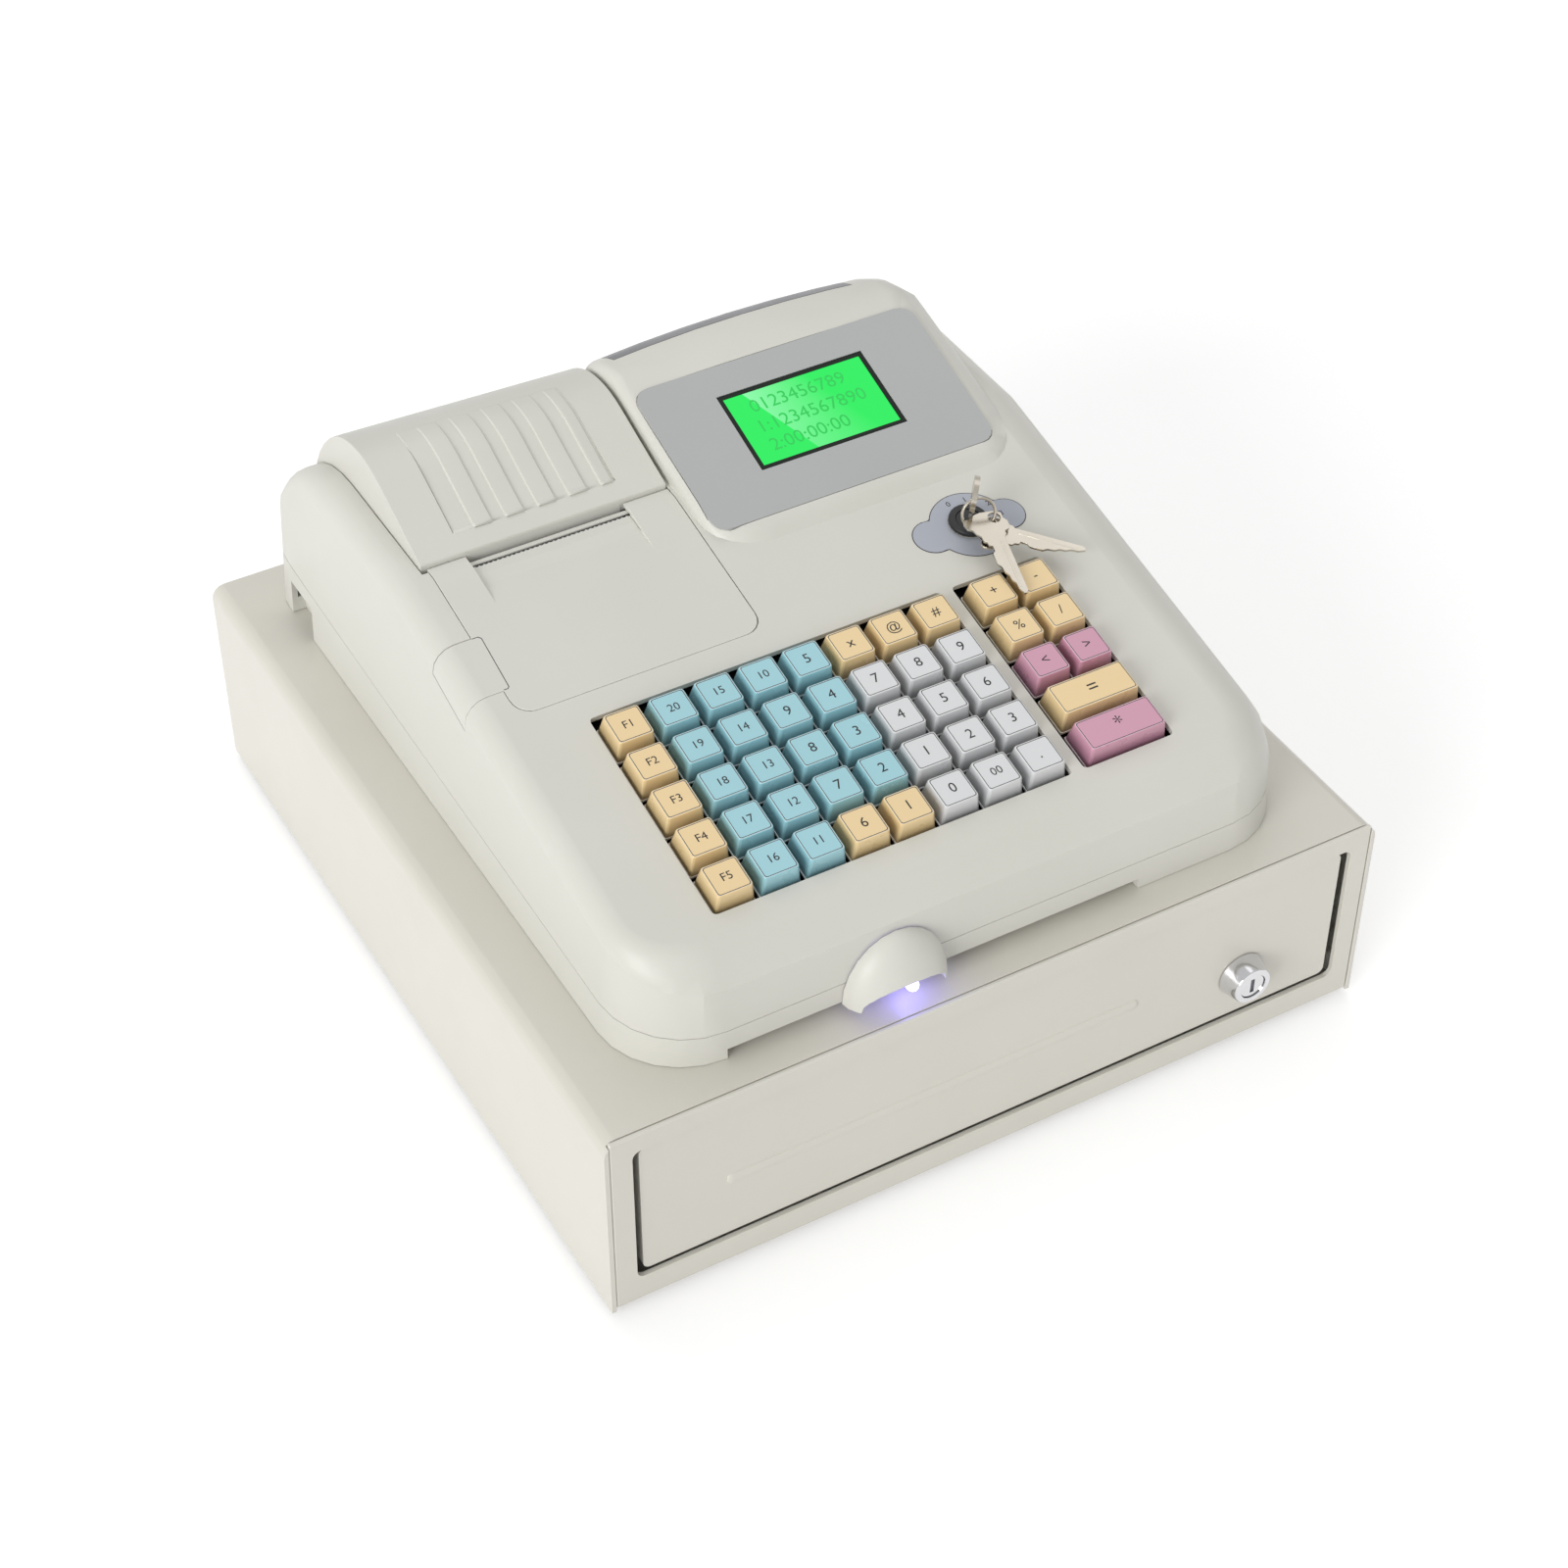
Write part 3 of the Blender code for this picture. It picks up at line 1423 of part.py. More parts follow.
def key_cap(width_extra=0.0):
    """A tapered cap centred on its stem, its top at the height of the caps."""
    half = key_base / 2
    low = key_rise - key_height
    shape = bmesh.new()
    bmesh.ops.create_cube(shape, size=1.0)
    for place in shape.verts:
        upper = place.co.z > 0
        half_x = (key_top_width / 2 if upper else half) + width_extra / 2
        half_y = key_top_length / 2 if upper else half
        place.co.x = math.copysign(half_x, place.co.x)
        place.co.y = math.copysign(half_y, place.co.y)
        place.co.z = key_rise if upper else low
    return rounded(mesh_object("cap", shape), key_edge, 1, math.radians(20))


def key_stem():
    """The stem under a cap, through the key plate. It starts inside the cap."""
    low = plate_top() - plate_sheet - stem_below_plate
    half = stem_size / 2
    return block((-half, -half, low), (half, half, key_rise - key_height / 2))


def plate_top():
    """Height of the key plate's upper face from the deck, along the normal."""
    return key_rise - key_height - key_travel - seat_gap


def single_key(name, place, finish, width_extra=0.0):
    """One key, with its origin on the deck."""
    made = join(key_cap(width_extra), key_stem())
    x, y = place
    made = as_part(placed(made, on_deck(x, y)), name, finish)
    return pivot(made, on_deck(x, y).translation)


def key_group(name, places, finish):
    """Keys in one line on a common web, pressed together. Their origin is the first key's."""
    x0, y0 = places[0]
    parts = []
    offsets = [(x - x0, (y - y0) / math.cos(deck_tilt)) for x, y in places]
    for offset in offsets:
        for piece in (key_cap(), key_stem()):
            parts.append(placed(piece, Matrix.Translation((*offset, 0))))
    low = key_rise - key_height + seat_gap
    (left, rear), (right, front) = offsets[0], offsets[-1]
    half = web_width / 2
    reach = half if right > left else 0.0
    web = block((left - half + reach, front - half + half * (right == left), low),
                (right + half - reach, rear + half - half * (right == left), low + web_height))
    made = as_part(placed(join(parts[0], *parts[1:], web), on_deck(x0, y0)), name, finish)
    return pivot(made, on_deck(x0, y0).translation)


def keys():
    """All the keys: number keys one by one, the other keys in their columns and rows."""
    places = key_places()
    numbers = ("7", "8", "9"), ("4", "5", "6"), ("1", "2", "3"), ("0", "00", "point")
    for row, names in enumerate(numbers):
        for column, label in enumerate(names):
            single_key(f"key_{label}", places[5 + column, row + 1], "grey_key")
    key_group("keys_above_numbers", [places[5 + column, 0] for column in range(3)], "cream_key")
    key_group("keys_left_column", [places[0, row] for row in range(key_rows)], "cream_key")
    for column in range(1, 5):
        key_group(f"keys_department_{column}", [places[column, row] for row in range(key_rows)], "blue_key")
    for column, label in enumerate(("left", "right")):
        group = [places[main_columns + column, row] for row in range(key_rows - 2)]
        key_group(f"keys_function_{label}", group, "cream_key")
    for place, label, finish in zip(wide_places(), ("total", "cash"), ("cream_key", "pink_key")):
        single_key(f"key_{label}", place, finish, key_pitch)


def key_plate():
    """Plate under the wells with a hole for every stem, on four posts under the deck."""
    first, second = wells()
    left, right = first[0] - plate_margin, second[1] + plate_margin
    front, rear = first[2] - plate_margin, first[3] + plate_margin
    top = plate_top()
    made = block((left, front, top - plate_sheet), (right, rear, top))
    inset = plate_post / 2 + seat_gap
    for x in (left + inset, right - inset):
        for y in (front + inset, rear - inset):
            low = (x - plate_post / 2, y - plate_post / 2, top - plate_sheet / 2)
            made = join(made, block(low, (x + plate_post / 2, y + plate_post / 2, -wall - seat_gap)))
    made = placed(made, on_deck(0.0, first_key_y))
    half = stem_size / 2 + stem_gap
    holes = []
    for x, y in list(key_places().values()) + wide_places():
        hole = block((-half, -half, top - plate_sheet - cut_overrun), (half, half, top + cut_overrun))
        holes.append(placed(hole, on_deck(x, y)))
    return as_part(cut(made, *holes), "key_plate", "black_plastic")


def mode_switch():
    """Round black lock in the deck, with the blind bore for its rotor."""
    head = rod((0, 0, seat_gap), (0, 0, switch_rise), switch_radius, 24)
    head = rounded(head, key_edge / 2, 1, math.radians(60))
    made = join(head, rod((0, 0, -switch_depth), (0, 0, switch_rise / 2), switch_neck, 24))
    bore = rod(
        (0, 0, switch_floor - switch_depth), (0, 0, switch_rise + cut_overrun), rotor_radius + seat_gap, 24
    )
    made = placed(cut(made, bore), on_deck(switch_x, switch_y))
    return as_part(made, "mode_switch", "black_plastic", smooth=True)


def key_plan(bow, length, width):
    """Outline of a flat key: round bow at the origin, blade towards +Y."""
    start = math.degrees(math.asin(width / 2 / bow))
    tip = bow + length
    points = arc((0.0, 0.0), bow, 90 + start, 450 - start, 16)
    return points + [(width / 2, tip - width / 2), (0.0, tip), (-width / 2, tip - width / 2)]


def switch_frame():
    """Frame of the mode key: origin on the deck at the switch, Y across the flat of the key."""
    return on_deck(switch_x, switch_y) @ Matrix.Rotation(mode_angle, 4, "Z")


def mode_key():
    """Rotor with the inserted key standing on it, its bow pierced for the ring."""
    top = switch_rise - seat_gap
    rotor = rod((0, 0, switch_floor - switch_depth + seat_gap), (0, 0, top), rotor_radius, 24)
    bow = rod((0, -bow_sheet / 2, bow_middle), (0, bow_sheet / 2, bow_middle), bow_radius, 28)
    shank = block(
        (-shank_width / 2, -bow_sheet / 3, 0.0), (shank_width / 2, bow_sheet / 3, bow_middle - bow_sheet)
    )
    eye = rod(
        (bow_eye_x, -bow_sheet, bow_eye_height), (bow_eye_x, bow_sheet, bow_eye_height), bow_eye_radius, 16
    )
    made = placed(cut(join(rotor, bow, shank), eye), switch_frame())
    made = as_part(made, "mode_key", "key_metal", smooth=True)
    return pivot(made, switch_frame().translation)


def ring_axes():
    """The ring's plane in the switch's frame: down to its lowest place, across, and the plane's normal."""
    level = Vector((-math.sin(ring_heading), math.cos(ring_heading), 0.0))
    flat = Vector((math.cos(ring_heading), math.sin(ring_heading), 0.0))
    down = flat * math.cos(ring_lean) - Vector((0.0, 0.0, math.sin(ring_lean)))
    across = Matrix.Rotation(ring_roll, 3, down) @ level
    return down, across, down.cross(across)


def on_ring(turn):
    """A point of the ring's middle line, turned from its lowest place. The ring hangs in the bow's eye."""
    down, across = ring_axes()[:2]
    centre = Vector((bow_eye_x, 0.0, bow_eye_height)) + down * ring_radius
    return centre + (down * math.cos(turn) + across * math.sin(turn)) * ring_radius


def key_ring():
    """Ring through the eyes of the mode key and the spare keys."""
    bpy.ops.mesh.primitive_torus_add(
        major_segments=28, minor_segments=8, major_radius=ring_radius, minor_radius=ring_wire
    )
    made = bake(bpy.context.object)
    centre = (on_ring(0.0) + on_ring(math.pi)) / 2
    turn = Matrix(ring_axes()).transposed().to_4x4()
    made = placed(made, switch_frame() @ Matrix.Translation(centre) @ turn)
    return as_part(made, "key_ring", "key_metal", smooth=True)


def spare_keys():
    """Two flat keys on the ring, lying above the deck and clear of the key tops."""
    for index, (place, heading, climb) in enumerate((first_spare, second_spare)):
        plan = key_plan(spare_bow_radius, spare_length, spare_blade_width)
        made = outline_solid(plan, -spare_sheet / 2, spare_sheet / 2, "Z")
        eye = rod(
            (spare_eye_x, spare_eye_y, -spare_sheet),
            (spare_eye_x, spare_eye_y, spare_sheet),
            spare_eye_radius,
            16,
        )
        frame = switch_frame() @ Matrix.Translation(on_ring(place))
        frame = frame @ Matrix.Rotation(heading - math.pi / 2 - mode_angle, 4, "Z")
        frame = frame @ Matrix.Rotation(climb, 4, "X") @ Matrix.Translation(
            (-spare_eye_x, -spare_eye_y, 0.0)
        )
        as_part(placed(cut(made, eye), frame), f"spare_key_{index + 1}", "key_metal")


def lamp_hood():
    """Scoop-shaped hood on the front wall, arched underneath."""
    z = cabinet_top + skirt_lift - seat_gap
    front = body_front - seat_gap
    domes = []
    for shrink in (0.0, lamp_hood_wall):
        shape = bmesh.new()
        bmesh.ops.create_uvsphere(shape, u_segments=24, v_segments=12, radius=1.0)
        scale = Matrix.Diagonal((
            lamp_hood_radius - shrink, lamp_hood_reach - shrink, lamp_hood_height - shrink, 1.0
        ))
        domes.append(placed(mesh_object("dome", shape), Matrix.Translation((lamp_x, front, z)) @ scale))
    made = cut(domes[0], domes[1])
    wide = 2 * lamp_hood_radius
    behind = block((lamp_x - wide, front, z - wide), (lamp_x + wide, front + wide, z + wide))
    below = block((lamp_x - wide, front - wide, z - wide), (lamp_x + wide, front + wide, z))
    arch = rod((0, front - wide, 0), (0, front + wide, 0), lamp_hood_radius * lamp_arch_share, 24)
    flat = Matrix.Diagonal((1.0, 1.0, lamp_arch_height / (lamp_hood_radius * lamp_arch_share), 1.0))
    arch = placed(arch, Matrix.Translation((lamp_x, 0, z)) @ flat)
    return as_part(cut(made, behind, below, arch), "lamp_hood", "body_plastic", smooth=True)


def note_lamp():
    """Small round-ended lamp under its hood."""
    x = lamp_x + lamp_offset
    z = cabinet_top + lamp_height
    front = body_front - seat_gap
    tip = front - lamp_reach
    made = join(
        rod((x, front, z), (x, tip, z), lamp_radius, 16),
        placed(ball(lamp_radius), Matrix.Translation((x, tip, z))),
    )
    return as_part(made, "note_lamp", "lamp", smooth=True)


def ball(radius):
    """A ball round the origin with its poles along Y, turned so that its rings match a rod's sides."""
    shape = bmesh.new()
    bmesh.ops.create_uvsphere(shape, u_segments=16, v_segments=8, radius=radius * (1.0 - merge_distance))
    return placed(mesh_object("ball", shape), Matrix.Rotation(math.pi / 2 * 1.1, 4, "X"))


def main_board():
    """Circuit board on four posts over the lower housing's floor."""
    floor = register_z + skirt_lift + bottom_wall + seat_gap
    made = block(
        (board_left, board_front, floor + board_lift), (
            board_right, board_rear, floor + board_lift + board_sheet
        )
    )
    posts = []
    for x in (board_left + 2 * board_post, board_right - 2 * board_post):
        for y in (board_front + 2 * board_post, board_rear - 2 * board_post):
            posts.append(rod((x, y, floor), (x, y, floor + board_lift + board_sheet / 2), board_post, 12))
    return as_part(join(made, *posts), "main_board", "board")


def build():
    """Makes every sub-part."""
    cabinet_cover()
    cabinet_chassis()
    feet()
    drawer_rails()
    drawer_pan()
    drawer_front()
    drawer_lock()
    money_tray()
    note_clips()
    lower_housing()
    upper_housing()
    paper_lid()
    printer_cover()
    tear_blade()
    printer_frame()
    paper_and_platen()
    display_panel()
    lcd_module()
    customer_window()
    keys()
    key_plate()
    mode_switch()
    mode_key()
    key_ring()
    spare_keys()
    lamp_hood()
    note_lamp()
    main_board()
    power_socket()


build()
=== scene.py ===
"""Dresses the cash register and its steel drawer.

It adds the finishes, the keys, the screen, the lid's flutes, the label, the floor, the light and the camera.
"""

from __future__ import annotations

import json
import logging
import math
from dataclasses import dataclass, field
from enum import Enum
from typing import ClassVar

import bmesh
import bpy
from mathutils import Matrix, Vector
from mathutils.bvhtree import BVHTree

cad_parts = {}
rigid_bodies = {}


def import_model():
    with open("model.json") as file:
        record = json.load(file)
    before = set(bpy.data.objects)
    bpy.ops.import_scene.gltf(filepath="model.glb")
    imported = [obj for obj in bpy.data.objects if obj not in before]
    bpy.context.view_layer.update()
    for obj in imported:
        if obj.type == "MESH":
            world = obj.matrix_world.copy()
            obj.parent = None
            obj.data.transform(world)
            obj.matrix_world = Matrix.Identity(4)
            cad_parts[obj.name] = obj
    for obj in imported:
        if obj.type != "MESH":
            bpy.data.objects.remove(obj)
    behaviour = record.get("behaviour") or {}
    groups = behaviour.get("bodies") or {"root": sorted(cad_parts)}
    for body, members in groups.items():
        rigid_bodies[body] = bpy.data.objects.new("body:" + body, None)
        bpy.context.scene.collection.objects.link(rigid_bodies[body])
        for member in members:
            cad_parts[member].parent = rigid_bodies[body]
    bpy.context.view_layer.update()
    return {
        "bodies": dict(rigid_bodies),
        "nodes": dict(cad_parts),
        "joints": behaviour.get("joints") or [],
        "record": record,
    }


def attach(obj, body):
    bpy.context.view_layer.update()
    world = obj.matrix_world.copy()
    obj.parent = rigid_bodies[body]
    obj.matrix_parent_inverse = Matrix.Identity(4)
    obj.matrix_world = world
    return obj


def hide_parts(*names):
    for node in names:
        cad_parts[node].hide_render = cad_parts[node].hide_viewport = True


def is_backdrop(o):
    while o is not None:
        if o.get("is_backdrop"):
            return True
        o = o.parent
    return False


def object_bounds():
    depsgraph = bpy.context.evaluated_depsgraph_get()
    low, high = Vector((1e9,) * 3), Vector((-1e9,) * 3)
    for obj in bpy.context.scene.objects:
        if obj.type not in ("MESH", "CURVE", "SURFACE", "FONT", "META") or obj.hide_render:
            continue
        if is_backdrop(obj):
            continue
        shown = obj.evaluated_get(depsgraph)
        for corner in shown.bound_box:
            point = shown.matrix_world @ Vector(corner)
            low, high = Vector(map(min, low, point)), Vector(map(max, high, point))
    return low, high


LOG = logging.getLogger("register")
CABINET_TOP = 0.0945
UV_MAP = "UVMap"
# Lays an outline in Y and Z and raises it along X.
ACROSS = Matrix(((0, 0, 1, 0), (1, 0, 0, 0), (0, 1, 0, 0), (0, 0, 0, 1)))
# The loaded frame: the solids' nodes by name, and their bodies.
FRAME: dict = {}

Point = tuple[float, float, float]
Outline = list[tuple[float, float]]
Tint = tuple[int, int, int]
Colour = tuple[float, float, float, float]


def srgb(red: int, green: int, blue: int) -> Colour:
    """Turns a display colour into the linear colour that the shaders take.

    Args:
        red: Red from 0 to 255.
        green: Green from 0 to 255.
        blue: Blue from 0 to 255.

    Returns:
        The linear colour with an opacity of 1.
    """
    def linear(value: int) -> float:
        """Linear value of one channel."""
        share = value / 255
        return share / 12.92 if share <= 0.04045 else ((share + 0.055) / 1.055) ** 2.4

    return linear(red), linear(green), linear(blue), 1.0


def ring(radius: float, count: int, x: float = 0.0, y: float = 0.0) -> Outline:
    """Corners of a circle.

    Args:
        radius: Its radius.
        count: How many corners it has.
        x: Its middle in X.
        y: Its middle in Y.

    Returns:
        The corners, from the right side and against the clock.
    """
    turns = [math.tau * step / count for step in range(count)]
    return [(x + radius * math.cos(turn), y + radius * math.sin(turn)) for turn in turns]


def rectangle(left: float, right: float, front: float, rear: float, inset: float = 0.0) -> Outline:
    """Corners of a rectangle.

    Args:
        left: Its left side.
        right: Its right side.
        front: Its front side.
        rear: Its rear side.
        inset: How far every side is drawn in.

    Returns:
        The corners.
    """
    left, right, front, rear = left + inset, right - inset, front + inset, rear - inset
    return [(left, front), (right, front), (right, rear), (left, rear)]


def bridged(shape: bmesh.types.BMesh, under: list[bmesh.types.BMVert], over: list[bmesh.types.BMVert],
            closed: bool = True) -> list[bmesh.types.BMFace]:
    """Makes the faces between two rows of corners.

    Args:
        shape: Where the faces go.
        under: The first row.
        over: The second row.
        closed: Whether the rows are rings.

    Returns:
        The faces, in the order of the rows.
    """
    made = []
    for index in range(len(under) if closed else len(under) - 1):
        after = (index + 1) % len(under)
        made.append(shape.faces.new((under[index], under[after], over[after], over[index])))
    return made


def finished(shape: bmesh.types.BMesh, name: str) -> bpy.types.Mesh:
    """Turns a shape into a mesh and frees it.

    Args:
        shape: The shape.
        name: Name of the mesh.

    Returns:
        The mesh.
    """
    mesh = bpy.data.meshes.new(name)
    shape.to_mesh(mesh)
    shape.free()
    return mesh


def stood(name: str, data: bpy.types.ID) -> bpy.types.Object:
    """Makes an object and puts it in the scene.

    Args:
        name: Name of the object.
        data: Its mesh, curve, lamp or camera.

    Returns:
        The object.
    """
    made = bpy.data.objects.new(name, data)
    bpy.context.scene.collection.objects.link(made)
    return made


def evaluated(item: bpy.types.Object) -> bpy.types.Mesh:
    """Evaluates an object to a plain mesh and removes the object.

    Args:
        item: The object.

    Returns:
        Its mesh.
    """
    graph = bpy.context.evaluated_depsgraph_get()
    graph.update()
    mesh = bpy.data.meshes.new_from_object(item.evaluated_get(graph), depsgraph=graph)
    bpy.data.objects.remove(item)
    return mesh


class Surface(Enum):
    """How a finish is textured: strength of its bump, stretch of its grain and share of cells in it."""

    MOULDED = (0.35, 1.0, 0.6)
    SPRAYED = (0.35, 1.0, 0.0)
    BRUSHED = (0.35, 0.04, 0.0)
    SMOOTH = (0.0, 1.0, 0.0)


class Net:
    """A node tree with short ways to add nodes and to feed them."""

    def __init__(self, tree: bpy.types.NodeTree) -> None:
        """Takes the tree.

        Args:
            tree: The tree that it fills.
        """
        self.tree = tree

    def feed(self, node: bpy.types.Node, values: dict[int | str, object]) -> bpy.types.Node:
        """Links or sets inputs of a node.

        Args:
            node: The node.
            values: For each input the socket that feeds it, or its own value.

        Returns:
            The node.
        """
        for slot, value in values.items():
            if isinstance(value, bpy.types.NodeSocket):
                self.tree.links.new(value, node.inputs[slot])
            else:
                node.inputs[slot].default_value = value
        return node

    def add(self, kind: str, values: dict[int | str, object] | None = None) -> bpy.types.Node:
        """Adds a node.

        Args:
            kind: Its type.
            values: What feeds its inputs.

        Returns:
            The node.
        """
        return self.feed(self.tree.nodes.new(kind), values or {})

    def maths(self, operation: str, *values: object, kind: str = "ShaderNodeMath") -> bpy.types.NodeSocket:
        """Adds a sum.

        Args:
            operation: What it works out.
            *values: What feeds its inputs, in their order.
            kind: Type of the node.

        Returns:
            Its result.
        """
        node = self.add(kind)
        node.operation = operation
        return self.feed(node, dict(enumerate(values))).outputs[0]

    def blend(self, factor: object, first: object, second: object) -> bpy.types.NodeSocket:
        """Adds a mix of two colours.

        Args:
            factor: Share of the second colour.
            first: The first colour.
            second: The second colour.

        Returns:
            The mixed colour.
        """
        node = self.add("ShaderNodeMix")
        node.data_type = "RGBA"
        return self.feed(node, {"Factor": factor, 6: first, 7: second}).outputs[2]


class Paint(Net):
    """The node tree of a new material round its shader."""

    def __init__(self, name: str) -> None:
        """Makes the material.

        Args:
            name: Name of the material.
        """
        self.material = bpy.data.materials.new(name)
        self.material.use_nodes = True
        super().__init__(self.material.node_tree)
        self.shader = self.tree.nodes["Principled BSDF"]

    def group(self, tree: bpy.types.NodeTree, values: dict[int | str, object]) -> bpy.types.NodeSocket:
        """Places a shader group.

        Args:
            tree: The group.
            values: What feeds its inputs.

        Returns:
            Its one output.
        """
        node = self.add("ShaderNodeGroup")
        node.node_tree = tree
        return self.feed(node, values).outputs[0]

    def map_axes(self) -> bpy.types.NodeOutputs:
        """The axes of the mesh's own UV map."""
        where = self.add("ShaderNodeUVMap")
        where.uv_map = UV_MAP
        return self.add("ShaderNodeSeparateXYZ", {0: where.outputs[0]}).outputs

    def shaded(self, values: dict[int | str, object]) -> bpy.types.Material:
        """Feeds the shader.

        Args:
            values: What feeds its inputs.

        Returns:
            The material.
        """
        self.feed(self.shader, values)
        return self.material


class ShaderGroups:
    """The shader node groups that the finishes share, each built once."""

    KINDS: dict[type, str] = {float: "NodeSocketFloat", tuple: "NodeSocketColor"}

    def __init__(self) -> None:
        """Builds the groups."""
        self.grain = self._grain()
        self.tone = self._tone()
        self.wear = self._wear()

    def _group(self, name: str, inputs: dict[str, float | Colour], output: str,
               kind: type) -> tuple[Net, bpy.types.NodeOutputs]:
        """Makes a group with its sockets.

        Args:
            name: Name of the group.
            inputs: First value of each input.
            output: Name of its output.
            kind: Type of its output's value.

        Returns:
            The group's net, and the sockets that bring its inputs.
        """
        tree = bpy.data.node_groups.new(name, "ShaderNodeTree")
        for label, value in inputs.items():
            made = tree.interface.new_socket(label, in_out="INPUT", socket_type=self.KINDS[type(value)])
            made.default_value = value
        tree.interface.new_socket(output, in_out="OUTPUT", socket_type=self.KINDS[kind])
        net = Net(tree)
        return net, net.add("NodeGroupInput").outputs

    def _grain(self) -> bpy.types.NodeTree:
        """Fine height of a moulded, sprayed or brushed surface."""
        net, source = self._group(
            "surface grain", {"Scale": 900.0, "Stretch": 1.0, "Share": 0.5}, "Height", float
        )
        place = net.add("ShaderNodeTexCoord").outputs["Object"]
        stretch = net.add("ShaderNodeCombineXYZ", {0: 1.0, 1: source["Stretch"], 2: 1.0})
        scaled = net.maths("MULTIPLY", place, stretch.outputs[0], kind="ShaderNodeVectorMath")
        noise = net.add("ShaderNodeTexNoise", {"Vector": scaled, "Scale": source["Scale"], "Detail": 3.0})
        cells = net.add("ShaderNodeTexVoronoi", {"Vector": scaled, "Scale": source["Scale"]})
        mix = net.add("ShaderNodeMix", {
            "Factor": source["Share"], 2: noise.outputs["Fac"], 3: cells.outputs["Distance"],
        })
        net.add("NodeGroupOutput", {"Height": mix.outputs[0]})
        return net.tree

    def _tone(self) -> bpy.types.NodeTree:
        """Slow change of colour over a surface, as ageing and handling leave it."""
        net, source = self._group("aged tone", {
            "Colour": (0.5, 0.5, 0.5, 1.0), "Aged": (0.4, 0.4, 0.4, 1.0), "Amount": 0.3, "Scale": 12.0,
        }, "Colour", tuple)
        place = net.add("ShaderNodeTexCoord").outputs["Object"]
        noise = net.add("ShaderNodeTexNoise", {"Vector": place, "Scale": source["Scale"], "Detail": 5.0})
        ramp = net.add("ShaderNodeMapRange", {
            "Value": noise.outputs["Fac"], "From Min": 0.35, "From Max": 0.75,
        })
        amount = net.maths("MULTIPLY", ramp.outputs[0], source["Amount"])
        net.add("NodeGroupOutput", {"Colour": net.blend(amount, source["Colour"], source["Aged"])})
        return net.tree

    def _wear(self) -> bpy.types.NodeTree:
        """Roughness with fine rubbed streaks."""
        net, source = self._group(
            "rubbed roughness", {"Roughness": 0.4, "Spread": 0.1, "Scale": 60.0}, "Roughness", float
        )
        place = net.add("ShaderNodeTexCoord").outputs["Object"]
        noise = net.add("ShaderNodeTexNoise", {"Vector": place, "Scale": source["Scale"], "Detail": 6.0})
        centred = net.maths("SUBTRACT", noise.outputs["Fac"], 0.5)
        rough = net.maths("MULTIPLY_ADD", centred, source["Spread"], source["Roughness"])
        net.add("NodeGroupOutput", {"Roughness": rough})
        return net.tree


@dataclass(frozen=True)
class Finish:
    """One finish of the register: its colour, gloss and texture.

    Attributes:
        name: Name of the material.
        colour: Display colour.
        aged: Display colour where it has aged.
        roughness: Middle roughness.
        spread: How far the roughness strays.
        metallic: Metallic value.
        grain: Cells of grain in a metre.
        depth: Depth of the grain in metres.
        surface: How the grain is made.
        coat: Weight of a clear coat.
        glow: Strength of its own light.
        aging: How much of the aged colour shows.
        coat_roughness: Roughness of the clear coat.
    """

    name: str
    colour: Tint
    aged: Tint
    roughness: float = 0.45
    spread: float = 0.1
    metallic: float = 0.0
    grain: float = 1500.0
    depth: float = 0.00003
    surface: Surface = Surface.MOULDED
    coat: float = 0.0
    glow: float = 0.0
    aging: float = 0.5
    coat_roughness: float = 0.08

    def build(self, groups: ShaderGroups) -> bpy.types.Material:
        """Builds the material.

        Args:
            groups: The shader groups that it places.

        Returns:
            The material.
        """
        paint = Paint(self.name)
        tone = paint.group(groups.tone, {
            "Colour": srgb(*self.colour), "Aged": srgb(*self.aged), "Amount": self.aging,
        })
        strength, stretch, share = self.surface.value
        height = paint.group(groups.grain, {"Scale": self.grain, "Stretch": stretch, "Share": share})
        bump = paint.add("ShaderNodeBump", {"Strength": strength, "Distance": self.depth, "Height": height})
        if self.glow:
            paint.feed(paint.shader, {"Emission Color": tone, "Emission Strength": self.glow})
        return paint.shaded({
            "Base Color": tone, "Metallic": self.metallic, "Normal": bump.outputs["Normal"],
            "Roughness": paint.group(groups.wear, {"Roughness": self.roughness, "Spread": self.spread}),
            "Coat Weight": self.coat, "Coat Roughness": self.coat_roughness,
        })


